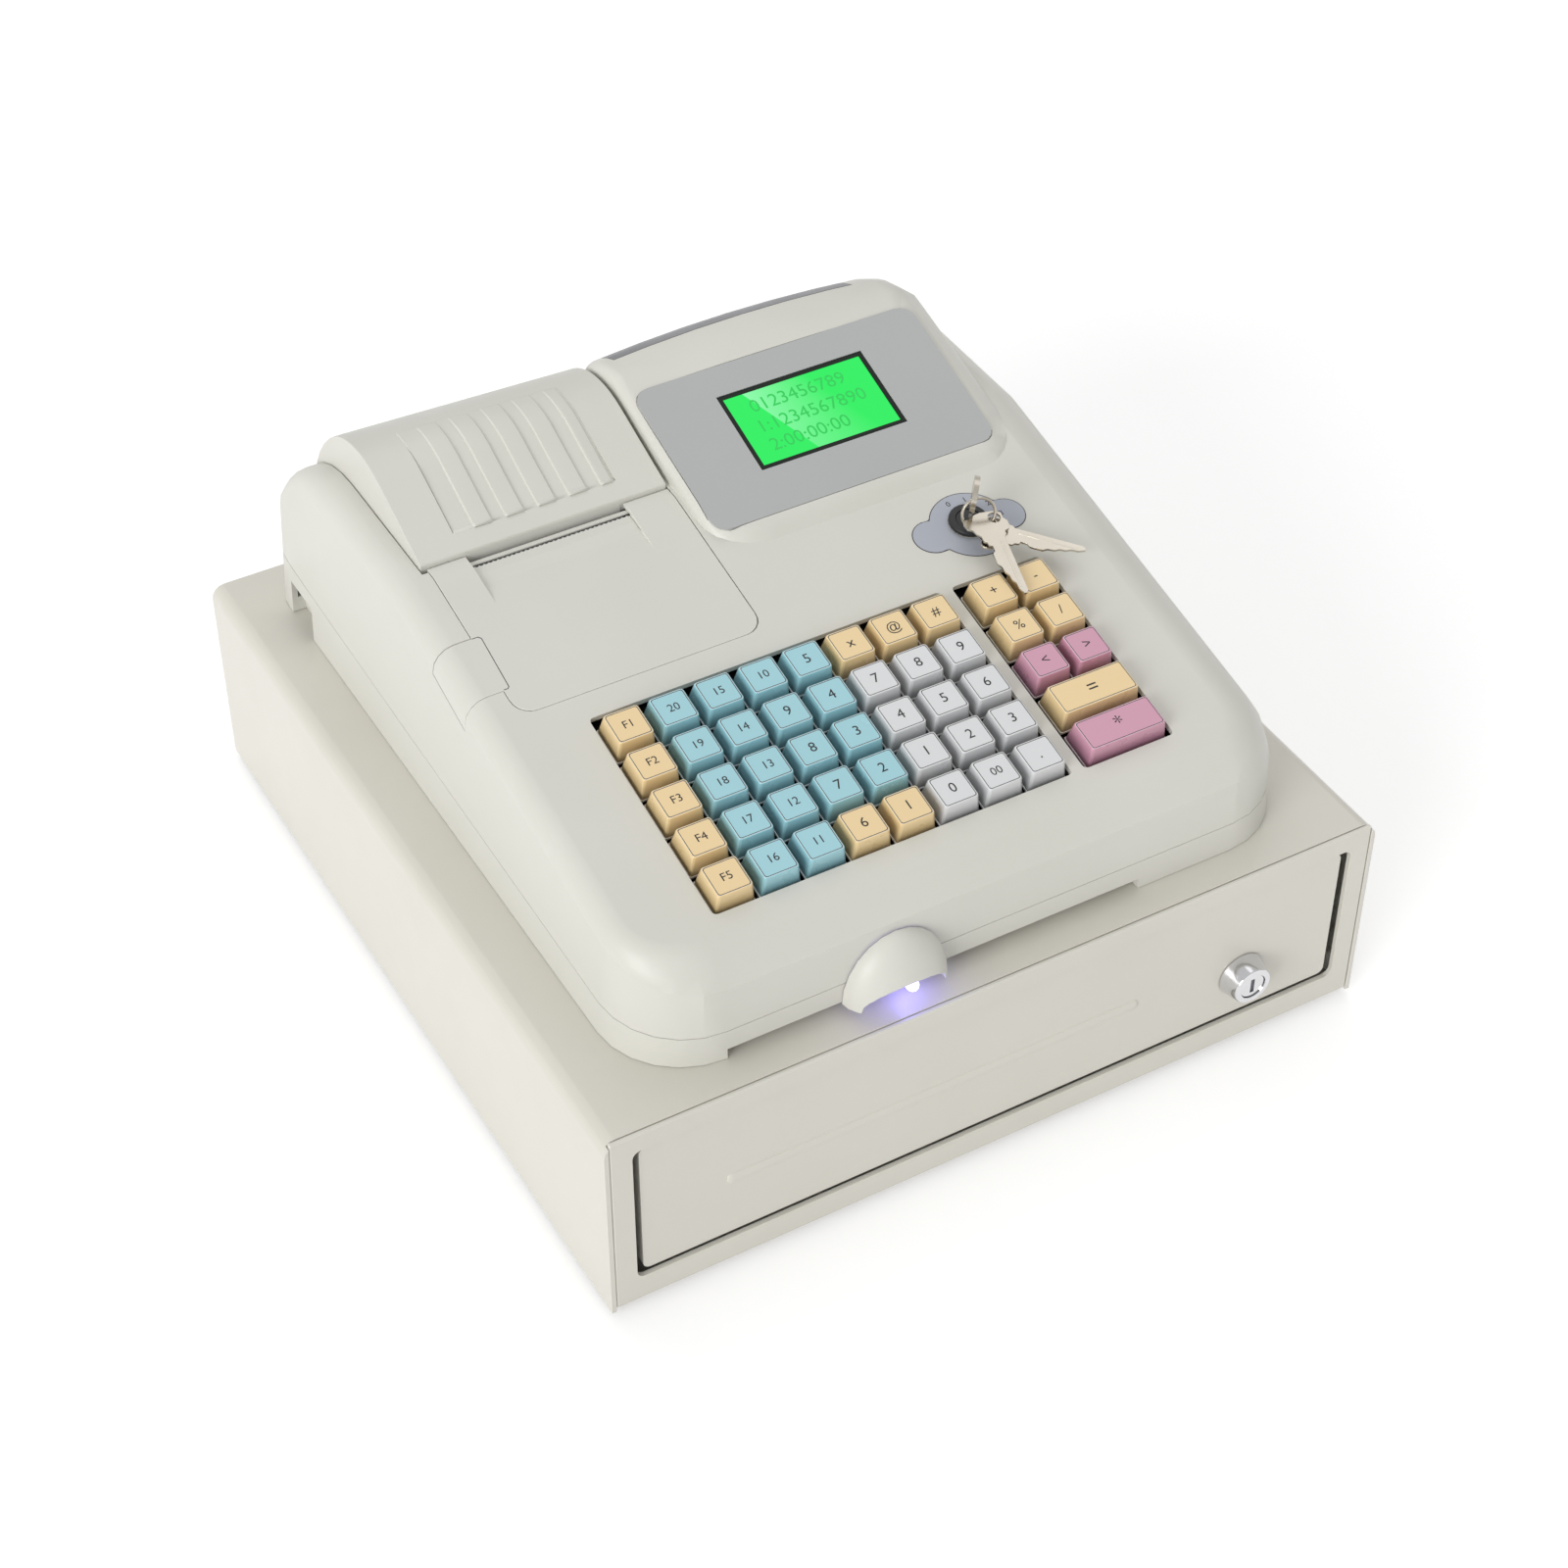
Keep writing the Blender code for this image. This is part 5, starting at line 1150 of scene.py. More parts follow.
@dataclass
class PaperLid:
    """The barrel-shaped lid over the paper, with its sunk fluted field.

    Attributes:
        cabinet_top: Height of the cabinet's top.
        left: Left side of the lid.
        right: Right side of the lid.
        front: Its front edge.
        front_height: Height of the front edge over the cabinet.
        crest_y: Middle of the crest's round.
        radius: Radius of the crest.
        centres: Height of the crest's middle at the left and right sides.
        field_left: Left side of the field.
        field_right: Right side of the field.
        field_front: Front of the field.
        field_depth: Depth of the field.
        ridges: Places of the ridges as shares of the field's width.
        flute: Height of a ridge over its grooves.
        skin: How far the grooves lie over the lid's own sunk floor.
        floor_share: Share of the crest's round over which the sunk floor comes up to the lid's top.
        back_turn: Angle at which the crest's round ends.
        field_end: Angle on the crest at which the ridges end.
        dive: How far the last row sinks into the lid.
        probe: Reach of the ray that finds the lid's own face.
        steps: Steps along the field.
        margin: Gap between the skin and the field's sides.
        fade: Share of the field over which the ridges sink at the rear, and the power of that fall.
        border: Least share of its depth that the skin's border keeps there.
        crease: Edges sharper than this stay sharp.
        wall: Thickness of the skin.
        worn: Width of the lid's rounded edges painted paler as a highlight.
        slot_wall: Front, rear, top, foot and chamfer of the slot's wall, from the lid's front edge.
        slot_ends: How far the wall stays inside the field at the left and right.
        slot_drop: How far the wall's zero lies under the lid's front edge.
    """

    cabinet_top: float = CABINET_TOP
    left: float = -0.1287
    right: float = -0.0217
    front: float = 0.0440
    front_height: float = 0.0895
    crest_y: float = 0.097
    radius: float = 0.045
    centres: tuple[float, float] = (0.0643, 0.0606)
    field_left: float = -0.1105
    field_right: float = -0.0398
    field_front: float = 0.0525
    field_depth: float = 0.0013
    ridges: tuple[float, ...] = (0.131, 0.326, 0.523, 0.717, 0.917)
    flute: float = 0.00090
    skin: float = 0.00010
    floor_share: float = 3.25 / 9
    back_turn: float = math.pi / 2 - math.radians(35.0)
    field_end: float = math.radians(80.0)
    dive: float = 0.00055
    probe: float = 0.004
    steps: int = 28
    margin: float = 0.0001
    fade: tuple[float, float] = (0.34, 0.7)
    border: float = 0.5
    crease: float = math.radians(7)
    wall: float = 0.0006
    worn: float = 0.00025
    slot_wall: tuple[float, ...] = (-0.0002, 0.0012, 0.0044, -0.0060, 0.0004)
    slot_ends: tuple[float, float] = (0.0020, 0.0028)
    slot_drop: float = 0.0052

    def floor(self, share: float, along: float) -> tuple[Vector, Vector]:
        """A point on the field's floor and the normal there.

        Args:
            share: Share of the lid's width from the left.
            along: Share of the way from the field's front to the crest.

        Returns:
            The point at x of zero, and the normal.
        """
        made = []
        for centre_height in self.centres:
            centre_z = self.cabinet_top + centre_height
            ahead = self.crest_y - self.front
            rise = centre_z - (self.cabinet_top + self.front_height)
            slope = math.asin(self.radius / math.hypot(ahead, rise)) + math.atan2(rise, ahead)
            start = math.pi / 2 + slope
            reach = self.radius - self.field_depth
            straight = (self.crest_y + reach * math.cos(start) - self.field_front) / math.cos(slope)
            turn = start - self.field_end
            gone = along * (straight + self.radius * turn)
            angle = start - max(0.0, gone - straight) / self.radius
            climb = (start - angle) / (self.floor_share * (start - self.back_turn))
            depth = max(self.field_depth * (1.0 - climb), 0.0) - self.skin
            reach = self.radius - depth
            y = self.crest_y + reach * math.cos(angle)
            z = centre_z + reach * math.sin(angle)
            if gone < straight:
                y -= (straight - gone) * math.cos(slope)
                z -= (straight - gone) * math.sin(slope)
            made.append((Vector((0, y, z)), Vector((0, math.cos(angle), math.sin(angle)))))
        (first, normal), (second, other) = made
        return first.lerp(second, share), normal.lerp(other, share).normalized()

    def profile(self) -> Outline:
        """Places across the field as shares of its width, each with its height as a share of the flute."""
        points = [(0.0, -0.6), (0.006, 0.2)]
        for ridge in self.ridges:
            points += [(ridge - 0.007, 0.12), (ridge, 1.0), (ridge + 0.010, 1.04)]
            if ridge < self.ridges[-1]:
                points += [(ridge + 0.105, 0.86), (ridge + 0.112, 0.0)]
        return points + [(0.980, 0.7), (0.988, 0.1), (0.994, 0.1), (1.0, -0.6)]

    def build(self, shop: Workshop) -> None:
        """Builds the smooth lid and the fluted skin in its field.

        Args:
            shop: Makes the meshes.
        """
        shop.smooth_copy("paper_lid_shell", "paper_lid", "lid", "body_plastic", highlight_band=self.worn)
        node = FRAME["nodes"]["paper_lid"].data
        lid = BVHTree.FromPolygons([v.co for v in node.vertices], [list(f.vertices) for f in node.polygons])
        shape = bmesh.new()
        rows = []
        for step in range(self.steps + 1):
            along = step / self.steps
            fade = max(0.0, min(1.0, (1.0 - along) / self.fade[0])) ** self.fade[1]
            row = []
            for share, height in self.profile():
                width = self.field_right - self.field_left - 2 * self.margin
                x = self.field_left + self.margin + width * share
                place, normal = self.floor((x - self.left) / (self.right - self.left), along)
                outside = place + Vector((x, 0, 0)) + normal * self.probe
                hit = lid.ray_cast(outside, -normal, 2 * self.probe)[3]
                lift = max(self.skin + self.probe - hit, 0.0) if hit else 0.0
                lift += self.flute * height * (max(fade, self.border) if height < 0 else fade)
                lift -= self.dive if step == self.steps else 0.0
                row.append(shape.verts.new(place + normal * lift + Vector((x, 0, 0))))
            rows.append(row)
        for under, over in zip(rows, rows[1:]):
            for face in bridged(shape, under, over, closed=False):
                face.smooth = True
        shape.normal_update()
        for edge in shape.edges:
            edge.smooth = edge.calc_face_angle(0.0) < self.crease
        mesh = finished(shape, "flutes")
        mesh.materials.append(shop.materials["body_plastic"])
        made = shop.piece("lid_flutes", mesh, "lid")
        thick = made.modifiers.new("skin", "SOLIDIFY")
        thick.thickness = self.wall
        thick.offset = -1.0
        self.guide(shop)

    def guide(self, shop: Workshop) -> None:
        """Builds the slot's wall under the lid's front edge, past which the paper comes out.

        Args:
            shop: Makes the meshes.
        """
        near, far, top, low, ease = self.slot_wall
        near, far = self.front + near, self.front + far
        side = [(near, top), (far, top), (far, low + ease), (near + ease, low), (near, low + ease)]
        place = Matrix.Translation((0, 0, self.cabinet_top + self.front_height - self.slot_drop)) @ ACROSS
        left, right = self.field_left + self.slot_ends[0], self.field_right - self.slot_ends[1]
        wall = shop.solid(side, left, right, "body_plastic", place)
        wall.shade_flat()
        shop.piece("paper_guide", wall, "lid")


@dataclass
class Display:
    """The operator display: film, lit screen and its plain figures.

    Attributes:
        LINES: Text, shift to the right and share of the window's height of each line.
        slopes: The faces that it lies on.
        corner: Lower left corner of the panel.
        screen: Left, right, front and rear of the screen's window from that corner.
        border: Width of the dark border.
        gap: Gap between the border and the window's edge.
        heights: Height over the glass of the border, of the light and of the figures' middle.
        type_size: Size of the figures.
    """

    LINES: ClassVar[tuple[tuple[str, float, float], ...]] = (
        ("0123456789", -0.001, 0.76), ("1:1234567890", 0.0, 0.50), ("2:00:00:00", -0.006, 0.25),
    )

    slopes: Slopes
    corner: tuple[float, float] = (-0.0172, 0.0100)
    screen: tuple[float, float, float, float] = (0.0310, 0.0985, 0.0207, 0.0603)
    border: float = 0.0021
    gap: float = 0.0001
    heights: tuple[float, float, float] = (0.00030, 0.00008, 0.00012)
    type_size: float = 0.0088

    def build(self, shop: Workshop) -> None:
        """Builds the display.

        Args:
            shop: Makes the meshes.
        """
        shop.smooth_copy("display_film", "display_panel", "base", "grey_film")
        shop.smooth_copy("screen_case", "lcd_module", "base", "screen_border")
        frame = self.slopes.on_hood(*self.corner)
        back = frame.inverted()
        top = max((back @ vertex.co).z for vertex in FRAME["nodes"]["lcd_module"].data.vertices)
        left, right, front, rear = self.screen
        rim_rise, light_rise, figures_rise = self.heights
        inset = self.border
        outer, inner = rectangle(*self.screen, self.gap), rectangle(*self.screen, inset)
        rim = shop.solid(outer, top, top + rim_rise, "screen_border", frame, inner)
        shop.piece("screen_rim", rim, "base")
        lit = shop.solid(inner, top, top + light_rise, "lit_screen", frame)
        layer = lit.uv_layers.new(name=UV_MAP) if not lit.uv_layers else lit.uv_layers[0]
        layer.name = UV_MAP
        for loop in lit.loops:
            local = back @ lit.vertices[loop.vertex_index].co
            layer.data[loop.index].uv = (
                (local.x - left - inset) / (right - left - 2 * inset),
                (local.y - front - inset) / (rear - front - 2 * inset),
            )
        shop.piece("screen_light", lit, "base")
        lines = []
        middle = (left + right) / 2
        for text, offset, share in self.LINES:
            place = Matrix.Translation((middle + offset, front + (rear - front) * share, top + figures_rise))
            lines.append(shop.words(text, self.type_size, "screen_digits", frame @ place))
        shop.piece("screen_figures", shop.joined(lines), "base")


@dataclass
class ModeSwitch:
    """The mode switch, its label and its keys.

    Attributes:
        BLANK: Outline of a spare key in millimetres, from the middle of its bow.
        RIB: Left, right, near and far end of the rib along a spare key's blade.
        NUMERALS: Angle in degrees and distance from the middle of each numeral on the label.
        MILLIMETRES: Millimetres in a metre.
        slopes: The faces that it stands on.
        centre: Middle of the switch.
        lobes: Offset and radius of each lobe of the label.
        bore: Radius of the label's hole.
        rotor_top: Height of the rotor's face over the deck.
        bow: Radius of a spare key's plain bow.
        sheet: Thickness of a spare key.
        eye: Place and radius of its eye.
        rounding: Width of the rounding of its edges.
        rib_rise: Height of its rib.
        rim: Width of the dark line round the label.
        films: Lowest and highest height over the deck of that line and of the label.
        numeral: Size of the numerals, and height of their middle over the deck.
        corners: Corners of the label's outline, of its hole and of a spare key's eye.
        rounded_from: Edges of a spare key sharper than this are rounded, in degrees.
        smooth_to: Edges of the metal pieces sharper than this stay sharp, in degrees.
    """

    BLANK: ClassVar[tuple[tuple[float, float], ...]] = (
        (-6.6, -5.4), (-3.2, -6.9), (2.0, -6.9), (5.8, -5.8), (6.9, -4.3), (9.2, -4.2), (10.2, -2.2),
        (9.3, 0.6), (7.5, 1.2), (6.7, 3.3), (5.1, 5.1), (4.9, 7.6), (3.8, 8.2), (3.5, 10.0), (2.2, 10.4),
        (2.2, 13.0), (3.4, 14.2), (3.4, 19.6), (2.2, 21.2), (1.8, 24.2), (0.6, 26.0), (0.4, 28.4),
        (-0.8, 30.4), (-1.0, 33.2), (-2.2, 35.6), (-3.3, 35.6), (-4.2, 34.4), (-4.2, 6.6), (-5.2, 5.4),
        (-5.2, 3.8), (-7.2, 3.0), (-8.0, 1.0), (-7.6, -1.4), (-6.6, -2.3),
    )
    RIB: ClassVar[tuple[float, float, float, float]] = (-0.0024, -0.0015, 0.0085, 0.0325)
    NUMERALS: ClassVar[tuple[tuple[float, float], ...]] = (
        (102, 0.0118), (66, 0.0121), (24, 0.0140), (-4, 0.0150), (-40, 0.0128),
    )
    MILLIMETRES: ClassVar[int] = 1000

    slopes: Slopes
    centre: tuple[float, float] = (0.0789, -0.0211)
    lobes: tuple[tuple[float, float, float], ...] = (
        (0.0005, -0.0012, 0.0165), (-0.0168, -0.0008, 0.0082), (0.0165, -0.0020, 0.0078),
    )
    bore: float = 0.0084
    rotor_top: float = 0.0025
    bow: float = 0.0077
    sheet: float = 0.0010
    eye: tuple[float, float, float] = (-0.0031, -0.0034, 0.0026)
    rounding: float = 0.00018
    rib_rise: float = 0.0001
    rim: float = 0.00035
    films: tuple[tuple[float, float], tuple[float, float]] = ((0.00002, 0.00012), (0.00006, 0.00020))
    numeral: tuple[float, float] = (0.0036, 0.00022)
    corners: tuple[int, int, int] = (120, 40, 24)
    rounded_from: float = 50.0
    smooth_to: float = 40.0

    def outline(self, grow: float) -> Outline:
        """Outline of the label round the switch.

        Args:
            grow: How far it is widened.

        Returns:
            Its corners.
        """
        points = []
        for step in range(self.corners[0]):
            angle = math.tau * step / self.corners[0]
            reach = 0.0
            for x, y, radius in self.lobes:
                along = x * math.cos(angle) + y * math.sin(angle)
                inside = (radius + grow) ** 2 - (x * x + y * y - along * along)
                if inside > 0:
                    reach = max(reach, along + math.sqrt(inside))
            points.append((reach * math.cos(angle), reach * math.sin(angle)))
        return points

    def build(self, shop: Workshop) -> None:
        """Builds the switch's pieces.

        Args:
            shop: Makes the meshes.
        """
        frame = self.slopes.on_deck(*self.centre)
        hole = ring(self.bore, self.corners[1])
        line, label = self.films
        marks = [
            shop.solid(self.outline(self.rim), *line, "print_ink", frame, hole),
            shop.solid(self.outline(0.0), *label, "mode_label", frame, hole),
        ]
        size, height = self.numeral
        for number, (angle, reach) in enumerate(self.NUMERALS):
            x, y = reach * math.cos(math.radians(angle)), reach * math.sin(math.radians(angle))
            place = frame @ Matrix.Translation((x, y, height))
            marks.append(shop.words(str(number), size, "print_ink", place))
        shop.piece("mode_label", shop.joined(marks), "base")
        shop.smooth_copy("mode_switch_case", "mode_switch", "base", "black_plastic")
        shop.smooth_copy("key_ring_metal", "key_ring", "mode_keys", "nickel", self.smooth_to)
        key = shop.smooth_copy("mode_key_metal", "mode_key", "mode_keys", "nickel", self.smooth_to)
        key.data.materials.append(shop.materials["black_plastic"])
        back = frame.inverted()
        for face in key.data.polygons:
            if (back @ face.center).z < self.rotor_top:
                face.material_index = 1
        for node in ("spare_key_1", "spare_key_2"):
            self.flat_key(shop, node)

    def flat_key(self, shop: Workshop, node: str) -> None:
        """Cuts a spare key's notched bow and stepped blade in the plane of its plain plate.

        Args:
            shop: Makes the meshes.
            node: The plate.
        """
        blank = FRAME["nodes"][node].data
        points = [vertex.co.copy() for vertex in blank.vertices]
        middle = sum(points, Vector()) / len(points)
        face = max(blank.polygons, key=lambda item: item.area)
        up = face.normal * (1.0 if face.normal.z > 0 else -1.0)
        flat = [point - up * (point - middle).dot(up) for point in points]
        tip = max(flat, key=lambda corner: (corner - middle).length)
        end = max(flat, key=lambda corner: (corner - tip).length)
        along = (tip - end).normalized()
        place = Matrix((along.cross(up), along, up)).transposed().to_4x4()
        place.translation = end + along * self.bow
        outline = [(x / self.MILLIMETRES, y / self.MILLIMETRES) for x, y in self.BLANK]
        half, rise = self.sheet / 2, self.rib_rise
        x, y, radius = self.eye
        eye = ring(radius, self.corners[2], x, y)
        parts = [shop.solid(outline, -half, half, "nickel", place, eye)]
        for middle_z in (half, -half):
            parts.append(shop.solid(rectangle(*self.RIB), middle_z - rise, middle_z + rise, "nickel", place))
        made = shop.piece(f"{node}_metal", shop.joined(parts), "mode_keys", node)
        shop.round_edges(made, self.rounding, self.rounded_from)


@dataclass
class BladeLip:
    """The lip of the printer cover over the root of the tear blade, in line with the cover's ramp.

    Attributes:
        slopes: The faces that it lies on.
        left: Its left end.
        right: Its right end.
        ramp: Where the ramp starts, and how fast it falls away from the deck.
        places: Its Y places: foot, brow and rear edge, short of the blade's teeth.
        rise: Height of the brow over the ramp.
        sink: How far the foot lies in the ramp, and how far the rear edge lies over it.
    """

    slopes: Slopes
    left: float = -0.1098
    right: float = -0.0417
    ramp: tuple[float, float] = (0.0170, 0.0032 / 0.0205)
    places: tuple[float, float, float] = (0.0262, 0.0332, 0.0375)
    rise: float = 0.00098
    sink: tuple[float, float] = (0.0002, 0.0001)

    def height(self, y: float) -> float:
        """Height of the ramp.

        Args:
            y: Place along Y.

        Returns:
            Its height.
        """
        edge_y, edge_height = self.slopes.deck_edge
        deck = self.slopes.cabinet_top + edge_height + (y - edge_y) * math.tan(self.slopes.deck_tilt)
        return deck - self.ramp[1] * (y - self.ramp[0])

    def build(self, shop: Workshop) -> None:
        """Builds the lip on top of the blade.

        Args:
            shop: Makes the meshes.
        """
        foot, brow, rear = self.places
        side = [
            (foot, self.height(foot) - self.sink[0]), (rear, self.height(rear) + self.sink[1]),
            (rear, self.height(rear) + self.rise), (brow, self.height(brow) + self.rise),
        ]
        lip = shop.solid(side, self.left, self.right, "body_plastic", ACROSS)
        lip.shade_flat()
        shop.piece("blade_lip", lip, "cover")


@dataclass
class TabSeam:
    """The fine gap between the printer cover and the finger tab on its left side, drawn dark as painted
    shade.

    Attributes:
        slopes: The faces that it lies on.
        edge: Left edge of the cover.
        rear: Rear end of the tab.
        front: Front end of the tab.
        reach: How far the tab reaches into the cover, at its rear and front.
        width: Width of the gap.
        low: Depth of the inlay in the cover.
        high: Height of the inlay over the cover.
        ease: Width of the eased corner at the front.
    """

    slopes: Slopes
    edge: float = -0.1262
    rear: float = 0.0046
    front: float = -0.0222
    reach: tuple[float, float] = (0.0036, 0.0027)
    width: float = 0.00030
    low: float = 0.00010
    high: float = 0.00003
    ease: float = 0.0008

    def build(self, shop: Workshop) -> None:
        """Builds the gap as a thin dark inlay of painted shade.

        Args:
            shop: Makes the meshes.
        """
        length = (self.rear - self.front) / math.cos(self.slopes.deck_tilt)
        frame = self.slopes.on_deck(self.edge, self.front)
        far, near = self.reach
        outer = [
            (0.0, 0.0), (near - self.ease, 0.0), (near, self.ease),
            (far, length - 0.0012), (far - 0.0010, length), (0.0, length),
        ]
        inner = [
            (0.0, self.width), (near - self.ease - self.width / 3, self.width), (near - self.width, 0.0010),
            (far - self.width, length - 0.0014), (far - 0.0011 - self.width / 3, length - self.width),
            (0.0, length - self.width),
        ]
        # painted shade: a dark inlay where the gap lies
        mesh = shop.solid(outer + inner[::-1], -self.low, self.high, "print_ink", frame)
        shop.piece("tab_seam", mesh, "cover")


class Dressing:
    """Gives the remaining nodes their smooth shells and finishes."""

    SHELLS: dict[str, tuple[str, str]] = {
        "cabinet_cover": ("base", "painted_steel"), "cabinet_chassis": ("base", "painted_steel"),
        "drawer_front": ("drawer", "painted_steel"), "lower_housing": ("base", "body_plastic"),
        "upper_housing": ("base", "body_plastic"), "printer_cover": ("cover", "body_plastic"),
        "lamp_hood": ("base", "body_plastic"), "note_lamp": ("base", "lamp_glow"),
        "customer_window": ("base", "smoke_window"), "lock_body": ("drawer", "chrome"),
        "lock_plug": ("drawer_lock", "chrome"), "tear_blade": ("cover", "rolled_steel"),
        "drawer_pan": ("drawer", "rolled_steel"), "drawer_rail_left": ("base", "rolled_steel"),
        "drawer_rail_right": ("base", "rolled_steel"), "money_tray": ("tray", "black_plastic"),
        "printer_frame": ("base", "black_plastic"), "paper_roll": ("roll", "paper"),
        "platen_roller": ("platen", "black_rubber"), "key_plate": ("base", "well_black"),
        "main_board": ("base", "board_green"), "power_socket": ("base", "black_plastic"),
        **{f"foot_{corner}": ("base", "black_rubber")
           for corner in ("front_left", "front_right", "rear_left", "rear_right")},
        **{f"note_clip_{number}": (f"clip_{number}", "inner_plastic") for number in range(1, 5)},
    }

    # Width of each shell's rounded edges, which are painted paler as a highlight.
    EDGES: dict[str, float] = {
        "cabinet_cover": 0.0004, "cabinet_chassis": 0.0003, "drawer_front": 0.0004, "upper_housing": 0.00035,
        "printer_cover": 0.00025, "lamp_hood": 0.0003,
    }

    def build(self, shop: Workshop) -> None:
        """Dresses every remaining node.

        Args:
            shop: Makes the meshes.
        """
        for node, (body, finish) in self.SHELLS.items():
            shop.smooth_copy(f"{node}_shell", node, body, finish, highlight_band=self.EDGES.get(node, 0.0))


@dataclass
class RearScrews:
    """The screws that hold the cabinet's back.

    Attributes:
        PROFILE: Rings of a head from its foot: shares of the radius and of the height.
        face_y: The back of the cabinet.
        radius: Radius of a head.
        height: Height of a head.
        corners: Corners of each ring.
        arms: Every so many corners the driver's pit is drawn in.
        pit: Share of the radius that is left there, and share of the height where its floor lies.
        places: X and height of each screw.
    """

    PROFILE: ClassVar[Outline] = [(1.0, 0.0), (1.0, 0.35), (0.86, 0.72), (0.55, 0.97), (0.3, 1.0)]

    face_y: float = 0.18175
    radius: float = 0.0031
    height: float = 0.0016
    corners: int = 20
    arms: int = 5
    pit: tuple[float, float] = (0.4, 0.55)
    places: tuple[tuple[float, float], ...] = (
        (-0.150, 0.018), (-0.150, 0.080), (0.150, 0.018), (0.150, 0.080), (-0.050, 0.018), (0.050, 0.018),
    )

    def build(self, shop: Workshop, repeat: RepeatTree) -> None:
        """Builds the screws as one piece.

        Args:
            shop: Makes the meshes.
            repeat: Sets the heads on their places.
        """
        shape = bmesh.new()
        rings = []
        for share, height in self.PROFILE:
            outline = ring(share * self.radius, self.corners)
            rings.append([shape.verts.new((x, y, height * self.height)) for x, y in outline])
        for under, over in zip(rings, rings[1:]):
            for face in bridged(shape, under, over):
                face.smooth = True
        shape.faces.new(list(reversed(rings[0])))
        floor = []
        for index, corner in enumerate(rings[-1]):
            share = 1.0 if index % self.arms else self.pit[0]
            x, y = corner.co.x * share, corner.co.y * share
            floor.append(shape.verts.new((x, y, self.height * self.pit[1])))
        bridged(shape, rings[-1], floor)
        shape.faces.new(floor)
        places = [Vector((x, self.face_y, z)) for x, z in self.places]
        turn = (math.radians(-90.0), 0.0, 0.0)
        made = repeat.spread(finished(shape, "screw head"), places, turn, shop.materials["rolled_steel"])
        shop.piece("rear_screws", made, "base")


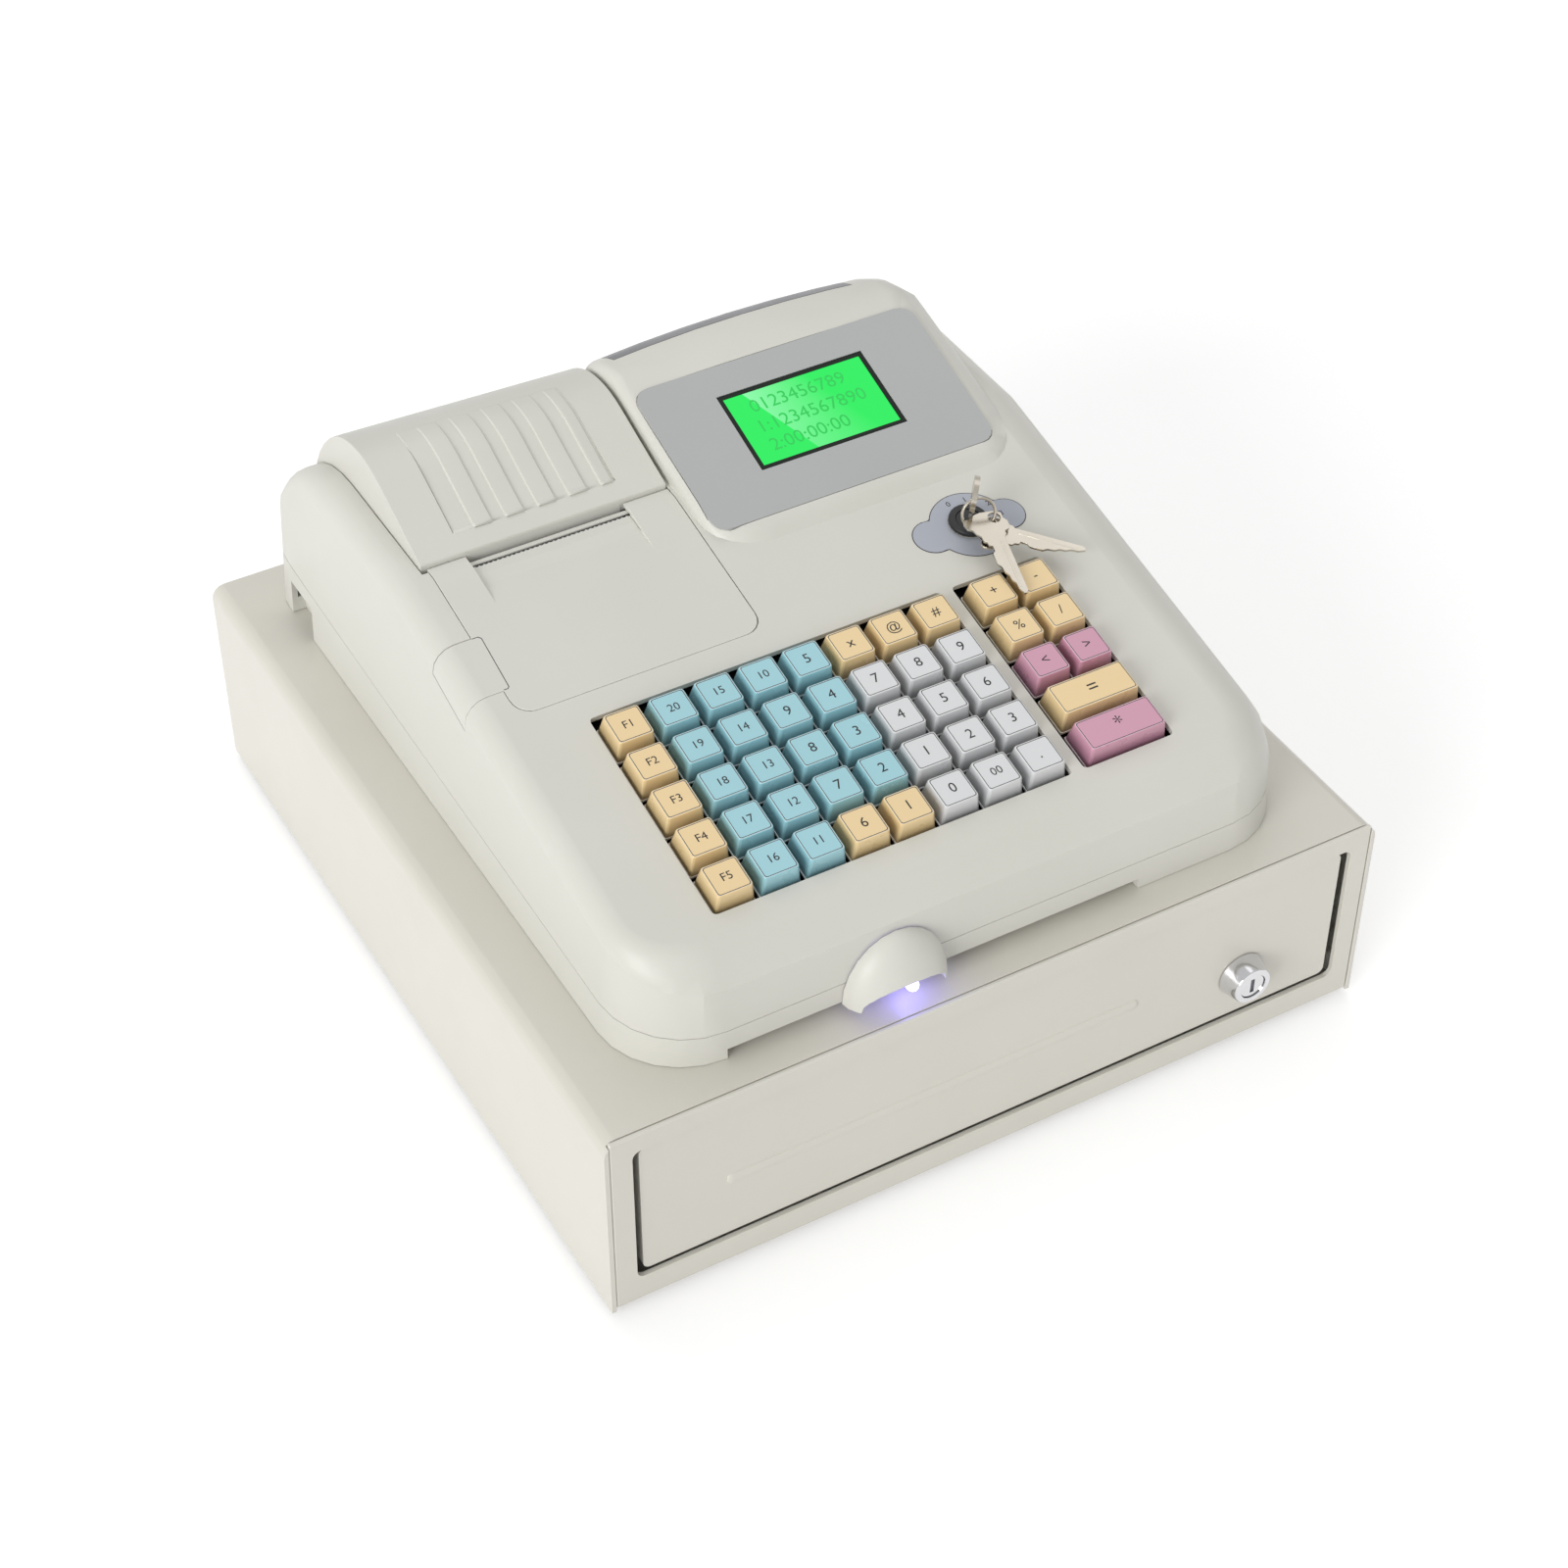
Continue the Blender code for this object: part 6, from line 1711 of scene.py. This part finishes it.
@dataclass
class Studio:
    """The floor, the light and the camera at the photograph's angle.

    Attributes:
        LAMPS: Name, direction, power and spread in degrees of each lamp.
        azimuth: Turn of the camera about the object, in degrees.
        elevation: Height of the camera, in degrees.
        roll: Roll of the camera, in degrees.
        distance: Distance from the middle of the view.
        aside: Shift of the view to the right.
        up: Shift of the view upwards.
        lift: Height of the feet that the object stands on.
        lens: Focal length in millimetres.
        sensor: Width of the sensor in millimetres.
        clip: Nearest and farthest distance that the camera sees.
        half: Half the width of the floor.
        floor_glow: Light that the floor adds where the camera or a gloss sees it.
        sky_light: Strength of the sky where the camera doesn't see it.
    """

    LAMPS: ClassVar[tuple[tuple[str, Point, float, float], ...]] = (
        ("side_lamp", (-0.84, -0.42, 0.34), 1.55, 32.0), ("top_lamp", (0.15, 0.45, 0.88), 0.35, 50.0),
    )

    azimuth: float = -29.8073
    elevation: float = 42.0837
    roll: float = 0.1152
    distance: float = 1.3464
    aside: float = 0.00605
    up: float = 0.0340
    lift: float = 0.003
    lens: float = 72.318
    sensor: float = 36.0
    clip: tuple[float, float] = (0.05, 20.0)
    half: float = 6.0
    floor_glow: float = 0.30
    sky_light: float = 0.66

    def camera(self) -> None:
        """Makes the camera."""
        turn, climb = math.radians(self.azimuth), math.radians(self.elevation)
        back = Vector((math.sin(turn) * math.cos(climb), -math.cos(turn) * math.cos(climb), math.sin(climb)))
        right = Vector((math.cos(turn), math.sin(turn), 0.0))
        over = back.cross(right)
        data = bpy.data.cameras.new("camera")
        data.lens, data.sensor_width = self.lens, self.sensor
        data.clip_start, data.clip_end = self.clip
        made = stood("camera", data)
        place = back * self.distance + right * self.aside + over * self.up + Vector((0, 0, self.lift))
        facing = Matrix((right, over, back)).transposed().to_4x4()
        rolled = Matrix.Rotation(math.radians(self.roll), 4, "Z")
        made.matrix_world = Matrix.Translation(place) @ facing @ rolled
        bpy.context.scene.camera = made

    def floor(self) -> None:
        """Makes the floor, pale to the camera with a soft shadow."""
        mesh = bpy.data.meshes.new("floor")
        edge = [(x, y, 0.0) for x, y in rectangle(-self.half, self.half, -self.half, self.half)]
        mesh.from_pydata(edge, [], [(0, 1, 2, 3)])
        made = stood("floor", mesh)
        paint = Paint("floor")
        path = paint.add("ShaderNodeLightPath").outputs
        seen = paint.maths("MAXIMUM", path["Is Camera Ray"], path["Is Glossy Ray"])
        glow = paint.add("ShaderNodeEmission", {"Strength": paint.maths("MULTIPLY", seen, self.floor_glow)})
        both = paint.add("ShaderNodeAddShader", {0: paint.shader.outputs[0], 1: glow.outputs[0]})
        paint.feed(paint.tree.nodes["Material Output"], {"Surface": both.outputs[0]})
        mesh.materials.append(paint.shaded({
            "Base Color": (0.86, 0.86, 0.86, 1.0), "Roughness": 0.9, "Specular IOR Level": 0.0,
        }))
        made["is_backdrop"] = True

    def light(self) -> None:
        """Makes the soft light: an even sky, a wide lamp at the left and a weaker one from above."""
        world = bpy.data.worlds.new("studio")
        bpy.context.scene.world = world
        world.use_nodes = True
        sky = Net(world.node_tree)
        path = sky.add("ShaderNodeLightPath").outputs
        seen = sky.maths("MAXIMUM", path["Is Camera Ray"], path["Is Transmission Ray"])
        level = sky.add("ShaderNodeMapRange", {"Value": seen, "To Min": self.sky_light, "To Max": 1.0})
        sky.feed(sky.tree.nodes["Background"], {"Color": (1.0, 1.0, 1.0, 1.0), "Strength": level.outputs[0]})
        for name, way, power, spread in self.LAMPS:
            data = bpy.data.lights.new(name, "SUN")
            data.energy = power
            data.angle = math.radians(spread)
            made = stood(name, data)
            made.rotation_mode = "QUATERNION"
            made.rotation_quaternion = Vector(way).to_track_quat("Z", "Y")
        bpy.context.scene.view_settings.view_transform = "Standard"

    def build(self) -> None:
        """Sets up the studio."""
        self.camera()
        self.floor()
        self.light()


def corners() -> list[list[float]]:
    """The shown object's lowest and highest corner as plain lists."""
    return [[float(value) for value in corner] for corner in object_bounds()]


def main() -> None:
    """Builds the sub-assemblies in order."""
    logging.basicConfig(level=logging.INFO, format="%(message)s")
    FRAME.update(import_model())
    Studio().build()
    shop, repeat, slopes = Workshop(), RepeatTree(), Slopes()
    Dressing().build(shop)
    PaperLid().build(shop)
    BladeLip(slopes).build(shop)
    TabSeam(slopes).build(shop)
    Display(slopes).build(shop)
    Keyboard(slopes).build(shop, repeat)
    ModeSwitch(slopes).build(shop)
    RearScrews().build(shop, repeat)
    LOG.info("sizes: %s", corners())


if __name__ == "__main__":
    main()
